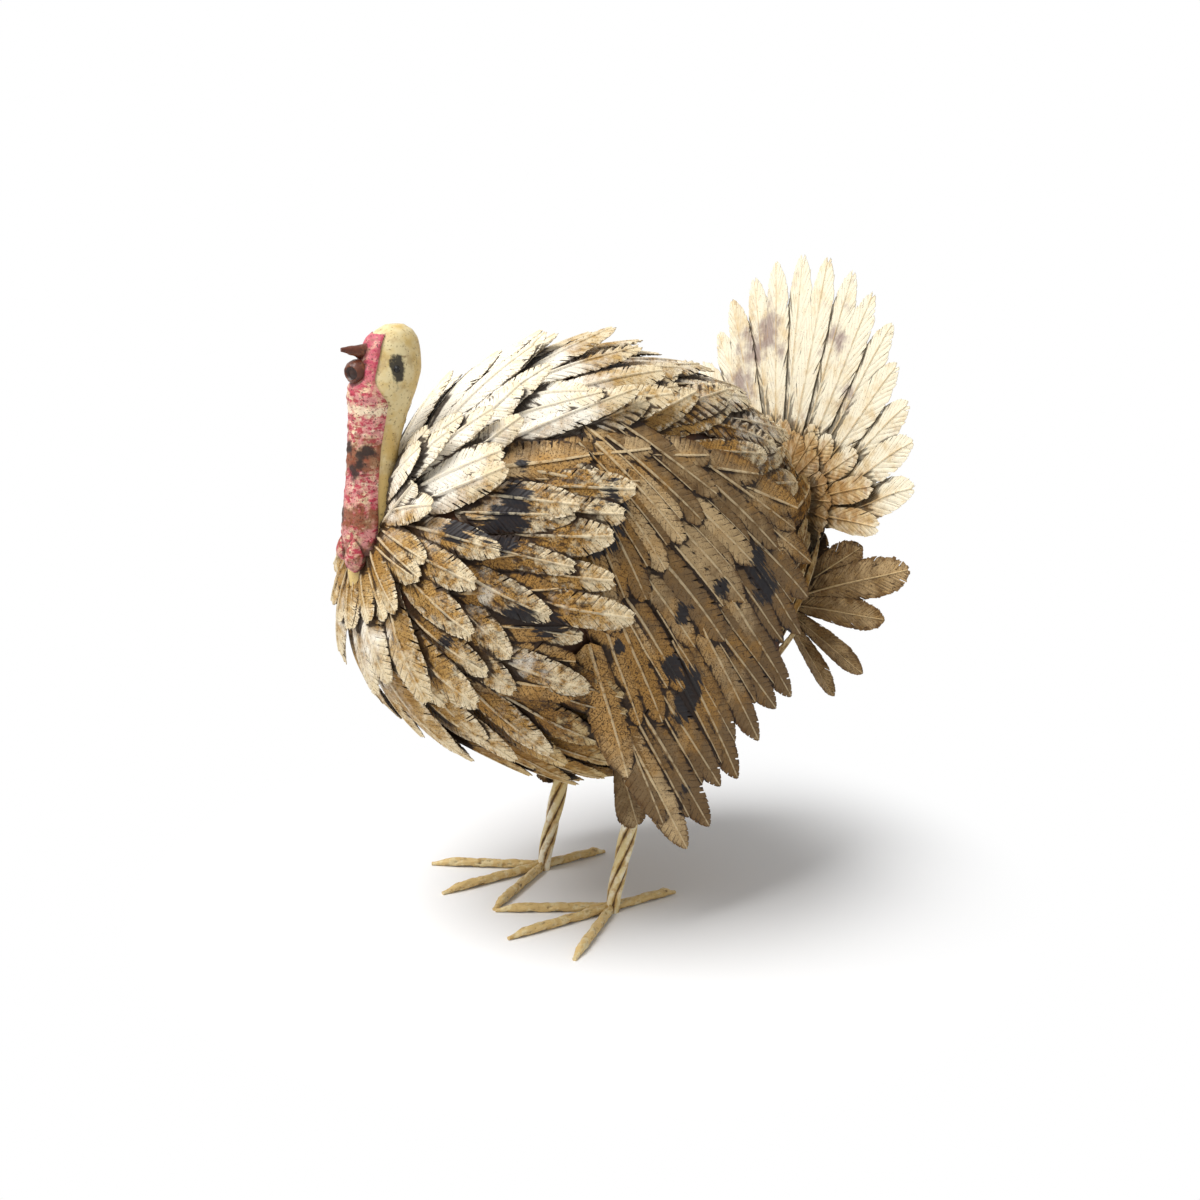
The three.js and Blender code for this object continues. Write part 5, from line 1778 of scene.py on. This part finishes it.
    def build_face(self, paint: bpy.types.Material) -> None:
        """Builds the knobbly sheet over the face and throat.

        Args:
            paint: Its material.
        """
        rows, columns = self.face_rows, self.face_columns
        u = np.linspace(-1, 1, columns)[None, :]
        t = np.linspace(self.face_from, self.face_to, rows)[:, None] * np.ones_like(u)
        spread = self.throat_spread + (self.face_spread - self.throat_spread) * smooth(0.7, 0.82, t)
        angle = np.radians(spread) * u
        places = self.point(t, angle).reshape(-1, 3)
        near = [noise.voronoi(Vector(place) / self.knob_grain)[0][0] for place in places]
        knobs = np.maximum(0, self.knob_share - np.array(near).reshape(rows, columns)) / self.knob_share
        edge = (smooth(1.0, 0.9, np.abs(u)) * smooth(self.face_from, self.face_from + 0.015, t)
                * smooth(self.face_to, self.face_to - 0.015, t))
        over = self.face_seat + (self.face_sheet + self.knob_height * knobs) * (0.25 + 0.75 * edge)
        outer = self.point(t, angle, over).reshape(-1, 3)
        faces = [(r * columns + c, (r + 1) * columns + c, (r + 1) * columns + c + 1, r * columns + c + 1)
                 for r in range(rows - 1) for c in range(columns - 1)]
        piece = mesh_piece("face_and_throat_knobbly", outer, faces, None, self.face_wash(outer))
        apply_modifier(piece, "SOLIDIFY", thickness=1.2 * MM, offset=-1.0)
        finish_piece(piece, paint, "face_and_throat")

    def build_beak(self, paint: bpy.types.Material) -> None:
        """Builds the hooked upper beak.

        Args:
            paint: Its material.
        """
        root = self.point(self.beak_height, 0.0, -13.5)
        half_width, half_height = self.beak_root
        t = np.linspace(0, 1, 40)[:, None]
        angle = around(32)[None, :]
        taper = 1 + (self.beak_tip - 1) * t
        flute = 1 + 0.05 * np.cos(5 * angle) * (1 - t)
        top = half_height - self.beak_drop * t ** 2
        x = root[0] - self.beak_length * t + 0 * angle
        z = root[2] + top - half_height * taper * (1 - np.sin(angle) * flute)
        rings = np.stack([x, half_width * taper * flute * np.cos(angle), z], axis=-1)
        rings += 0.35 * bumps(rings, 4, 1)[..., None]
        finish_piece(tube_piece("beak_upper_hooked", rings), paint, "beak_upper")

    def build_knob(self, paint: bpy.types.Material) -> None:
        """Builds the round knob under the beak, with its recess.

        Args:
            paint: Its material.
        """
        select_only()
        bpy.ops.mesh.primitive_uv_sphere_add(segments=48, ring_count=32, radius=self.knob_radius * MM,
                                             rotation=(0, math.pi / 2, 0))
        ball = bpy.context.object
        bpy.ops.object.transform_apply(rotation=True)
        ball.name = ball.data.name = "beak_lower_knob"
        places = get_values(ball.data.vertices, "co", 3) / MM
        aside = np.hypot(places[:, 1] - self.recess_place[0], places[:, 2] - self.recess_place[1])
        facing = places[:, 0] < 0
        places[:, 0] += np.where(facing, self.recess * smooth(*self.recess_edge, aside), 0)
        places *= 1 + 0.03 * bumps(places, 3.5, 2)[:, None]
        wash = np.zeros((len(places), 4))
        wash[:, 1] = np.where(facing, smooth(6.6, 4.8, aside), 0)
        centre = self.point(self.knob_at, 0.0, 2.0)
        ball.data.vertices.foreach_set("co", ((places + centre + (SHIFT, 0, 0)) * MM).ravel())
        set_attribute(ball.data, "wash", "FLOAT_COLOR", wash)
        ball.data.update()
        finish_piece(ball, paint, "beak_lower")

    def build_wattles(self, paint: bpy.types.Material) -> None:
        """Builds the two drop-shaped lobes at the throat's foot.

        Args:
            paint: Their material.
        """
        throat = self.point(self.face_from, 0.0, 2.7)
        t = np.linspace(0.02, 0.985, 44)[:, None]
        angle = around(36)[None, :]
        bulge = np.sin(np.pi * t ** (math.log(0.5) / math.log(self.wattle_waist)))
        for name, side, size in (("wattle_large", -1, 1.0), ("wattle_small", 1, 0.8)):
            radius = self.wattle_radius * size * bulge
            height = self.foot_z + self.wattle_top - self.wattle_length * size * (1 - t)
            rings = np.stack([throat[0] + 3.7 + radius * np.cos(angle), side * 10 + radius * np.sin(angle),
                              height + 0 * angle], axis=-1)
            grown = 0.05 * bumps(rings, 6, side)[..., None] * (rings - rings.mean(axis=1, keepdims=True))
            wash = np.tile((0.3, 0.0, 0.0, 0.0), (rings[..., 0].size, 1))
            finish_piece(tube_piece(name + "_lobe", rings + grown, None, wash), paint, name)

    def build(self, cream: bpy.types.Material, red: bpy.types.Material, brown: bpy.types.Material) -> None:
        """Builds the neck, the face, the beak and the wattles.

        Args:
            cream: Paint of the neck.
            red: Paint of the face and wattles.
            brown: Paint of the beak and its knob.
        """
        self.build_neck(cream)
        self.build_face(red)
        self.build_beak(brown)
        self.build_knob(brown)
        self.build_wattles(red)


# Legs and feet

@dataclass
class Leg:
    """One leg of four bars twisted together, with its foot."""

    name: str
    side: int
    stance: float = 124.0
    lean: float = 44.5
    bottom: float = 9.8
    top: float = 180.0
    top_radius: float = 10.8
    ankle_radius: float = 7.4
    strand_out: float = 0.5  # distance of a strand's middle from the leg's, of the leg's radius
    turns: float = 1.15
    foot_share: float = 0.06  # of the height, which reaches down to the toes
    sole: float = 0.2  # height of the foot's underside
    sides: int = 48
    stations: int = 64

    def build(self, paint: bpy.types.Material) -> None:
        """Builds the twisted leg by stacking turned sections.

        Args:
            paint: Its material.
        """
        t = np.linspace(0, 1, self.stations)[:, None]
        angle = around(self.sides)[None, :]
        off = (angle + np.pi / 4) % (np.pi / 2) - np.pi / 4
        strands = (self.strand_out * np.cos(off)
                   + np.sqrt((1 - self.strand_out) ** 2 - (self.strand_out * np.sin(off)) ** 2))
        full = self.ankle_radius + (self.top_radius - self.ankle_radius) * t
        radius = full * (strands + (1 - strands) * 0.7 * smooth(0.03, 0.0, t))
        ridge = (strands - strands.min()) / (1 - strands.min())
        turn = angle + 2 * np.pi * self.turns * t
        rise = self.top - self.bottom
        height = np.where(t < self.foot_share,
                          self.sole + (self.bottom + self.foot_share * rise) * t / self.foot_share,
                          self.bottom + rise * t)
        x = self.lean * t + radius * np.cos(turn)
        y = self.side * self.stance / 2 + radius * np.sin(turn)
        rings = np.stack([x, y, height + 0 * angle], axis=-1)
        mark = np.zeros((radius.size, 4))
        mark[:, 0] = np.broadcast_to(1 - ridge, radius.shape).ravel()
        node = f"leg_{self.name}"
        finish_piece(tube_piece(node + "_twisted", rings, mark), paint, node)


TOES = {"middle": (118, 0), "outer": (115, 38), "inner": (113, -32.5), "hind": (75, 180)}  # length and splay


@dataclass
class Toe:
    """One rough forged toe, flat underneath, that thins to a claw."""

    name: str
    leg: str
    side: int
    length: float
    splay: float
    stance: float = 124.0
    root: float = 5.0
    half_width: float = 5.1
    height: float = 9.4
    tip_half_width: float = 2.2
    tip_height: float = 3.6
    taper_share: float = 0.8
    flute: float = 0.16  # depth of the three twisted grooves, of the radius
    twist_run: float = 13.0  # along the toe for one radian of their twist
    rough_grain: float = 1.9
    rough: float = 0.14
    sides: int = 32
    stations: int = 110

    def build(self, paint: bpy.types.Material) -> None:
        """Builds the toe by stacking rough sections along it.

        Args:
            paint: Its material.
        """
        t = np.linspace(0, 1, self.stations)[:, None]
        angle = around(self.sides)[None, :]
        along = self.root + (self.length - self.root) * t
        thin = smooth(self.taper_share, 1.0, t)
        height = self.height + (self.tip_height - self.height) * thin
        half = np.minimum(self.half_width + (self.tip_half_width - self.half_width) * thin, 1.4 + 0.3 * along)
        flute = 1 - self.flute * np.abs(np.sin(1.5 * (angle + along / self.twist_run))) ** 3 * (1 - thin)
        aside, z = half * flute * np.cos(angle), height / 2 * (1 + flute * np.sin(angle))
        places = np.stack([along + 0 * angle, aside, z], axis=-1)
        rough = bumps(places * (0.35, 1, 1), self.rough_grain, self.length + 7 * self.splay)
        rough *= 1 - 0.75 * thin
        shrink = 1 - self.rough * np.clip(rough + 0.4, 0, 2)
        aside, z = aside * shrink, np.maximum(height / 2 + (z - height / 2) * shrink, 0)
        turn = math.pi - self.side * math.radians(self.splay)
        x = along * math.cos(turn) - aside * math.sin(turn)
        y = along * math.sin(turn) + aside * math.cos(turn) + self.side * self.stance / 2
        rings = np.stack([x, y, z], axis=-1)
        mark = np.zeros((rough.size, 4))
        # Darker in the dents and flutes, and darker towards the underside as painted shade
        low = smooth(0.35, 0.1, z / height)
        dirt_and_underside_shade = 0.5 * np.clip(rough, 0, 1) + 0.5 * (1 - flute) / self.flute + 0.6 * low
        mark[:, 0] = np.clip(dirt_and_underside_shade, 0, 1).ravel()
        mark[:, 3] = np.broadcast_to(thin, rough.shape).ravel()
        node = f"toe_{self.name}_{self.leg}"
        finish_piece(tube_piece(node + "_forged", rings, mark), paint, node)


@dataclass
class ThighFeather:
    """Pressed feather that hangs at the outer side of a thigh."""

    name: str
    side: int
    forward: float = 2.0
    aside: float = 73.7
    top: float = 160.0
    slant: float = math.radians(17)

    def build(self, paint: bpy.types.Material) -> None:
        """Builds the feather in the plane of the leg.

        Args:
            paint: Its material.
        """
        blade = THIGH_PRESSING.press(77)
        across, along, height = blade.points.T
        x = -self.forward + along * math.sin(self.slant) + across * math.cos(self.slant)
        z = self.top - along * math.cos(self.slant) + across * math.sin(self.slant)
        bundle = Bundle()
        bundle.add(blade, np.stack([x, self.side * (self.aside + height), z], axis=-1), 0.5)
        bundle.finish(f"thigh_feather_{self.name}", paint, "body_feather_cream")


# Studio

@dataclass
class Studio:
    """Camera, lamps and pale floor, in metres where nothing else is said."""

    camera_mm: tuple[float, float, float] = (-978.4, -1453.8, 768.5)
    forward: tuple[float, float, float] = (0.54183, 0.79904, -0.26067)
    up: tuple[float, float, float] = (0.14269, 0.21818, 0.96542)
    lens_mm: float = 56.74
    key_power: float = 104.0
    key_place: tuple[float, float, float] = (-1.5, 0.1, 2.8)
    key_target: tuple[float, float, float] = (0.0, 0.0, 0.3)
    key_size: float = 2.2
    room_light: float = 0.45
    floor_radius: float = 6.0
    floor_fade: tuple[float, float] = (0.20, 0.46)  # where the floor turns into the background

    def place_camera(self) -> None:
        """Places the camera where the photograph was taken from."""
        data = bpy.data.cameras.new("camera")
        data.lens, data.sensor_width, data.clip_end = self.lens_mm, 36.0, 50.0
        camera = bpy.data.objects.new("camera", data)
        forward = Vector(self.forward).normalized()
        right = forward.cross(Vector(self.up).normalized()).normalized()
        turn = Matrix((right, right.cross(forward), -forward)).transposed().to_4x4()
        camera.matrix_world = Matrix.Translation(Vector(self.camera_mm) * MM) @ turn
        bpy.context.scene.collection.objects.link(camera)
        bpy.context.scene.camera = camera

    def light(self) -> None:
        """Hangs the soft lamp, and lights the room evenly while it looks white."""
        light = bpy.data.lights.new("softbox", "AREA")
        light.shape, light.size, light.energy = "DISK", self.key_size, self.key_power
        lamp = bpy.data.objects.new("softbox", light)
        lamp.location = self.key_place
        way = Vector(self.key_target) - Vector(self.key_place)
        lamp.rotation_euler = way.to_track_quat("-Z", "Y").to_euler()
        bpy.context.scene.collection.objects.link(lamp)
        world = bpy.data.worlds.new("room")
        add = clear_nodes(world)
        rays = add("LightPath").outputs
        seen = add("Math", {0: rays["Is Camera Ray"], 1: rays["Is Glossy Ray"]}, operation="MAXIMUM")
        seen = add("Math", {0: seen.outputs[0], 1: rays["Is Transmission Ray"]}, operation="MAXIMUM")
        strength = add("MapRange", {"Value": seen.outputs[0], "To Min": self.room_light, "To Max": 1.0})
        glow = add("Background", {"Color": (1, 1, 1, 1), "Strength": strength.outputs[0]})
        add("OutputWorld", {"Surface": glow.outputs[0]})
        bpy.context.scene.world = world

    def lay_floor(self) -> None:
        """Lays the floor: matt where the figure's shadow falls, farther out as white as the background."""
        select_only()
        bpy.ops.mesh.primitive_circle_add(vertices=96, radius=self.floor_radius, fill_type="NGON")
        floor = bpy.context.object
        floor.name = "floor"
        material = bpy.data.materials.new("pale matt floor")
        add = clear_nodes(material)
        far = add("VectorMath", {0: add("TexCoord").outputs["Object"]}, operation="LENGTH")
        fade = add("MapRange", {"Value": far.outputs["Value"], "From Min": self.floor_fade[0],
                                "From Max": self.floor_fade[1]}, interpolation_type="SMOOTHSTEP")
        matt = add("BsdfDiffuse", {"Color": (0.93, 0.93, 0.93, 1)})
        glow = add("Emission", {"Color": (1, 1, 1, 1), "Strength": 1.0})
        ray = add("LightPath").outputs["Is Camera Ray"]
        seen = add("Math", {0: fade.outputs[0], 1: ray}, operation="MULTIPLY")
        both = add("MixShader", {0: seen.outputs[0], 1: matt.outputs[0], 2: glow.outputs[0]})
        add("OutputMaterial", {"Surface": both.outputs[0]})
        floor.data.materials.append(material)

    def build(self) -> None:
        """Sets up the studio."""
        bpy.context.scene.view_settings.view_transform = "Standard"
        self.place_camera()
        self.light()
        self.lay_floor()


def dress_nodes(paints: dict[str, bpy.types.Material]) -> None:
    """Gives the CAD nodes that stay their paints.

    Args:
        paints: A material for each start of a node's name.
    """
    for name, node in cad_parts.items():
        for start, paint in paints.items():
            if name.startswith(start):
                node.data.materials.clear()
                node.data.materials.append(paint)


def main() -> None:
    """Builds the studio, then the figure piece by piece."""
    logging.basicConfig(level=logging.INFO, format="%(name)s %(message)s")
    Studio().build()
    shell = SHELL_PAINT.build()
    dress_nodes({"body_shell": shell, "wing_plate": shell, "tail_plate": shell, "eye": EYE_PAINT.build()})
    Plumage().build(CREAM_FEATHER.build(), OCHRE_FEATHER.build())
    wing_paint = WING_FEATHER.build()
    for name, side in SIDES.items():
        Wing(name, side).build(wing_paint)
    Tail().build(FAN_FEATHER.build(), LOW_FEATHER.build())
    HeadAndNeck().build(HEAD_PAINT.build(), FACE_PAINT.build(), BEAK_PAINT.build())
    gold, toe_paint = LEG_PAINT.build(), TOE_PAINT.build()
    for name, side in SIDES.items():
        Leg(name, side).build(gold)
        for toe, (length, splay) in TOES.items():
            Toe(toe, name, side, length, splay).build(toe_paint)
        ThighFeather(name, side).build(wing_paint)
    # Painted shade and dark wax where the pieces cover one another
    OverlapShade().lay(PIECES)


if __name__ == "__main__":
    main()
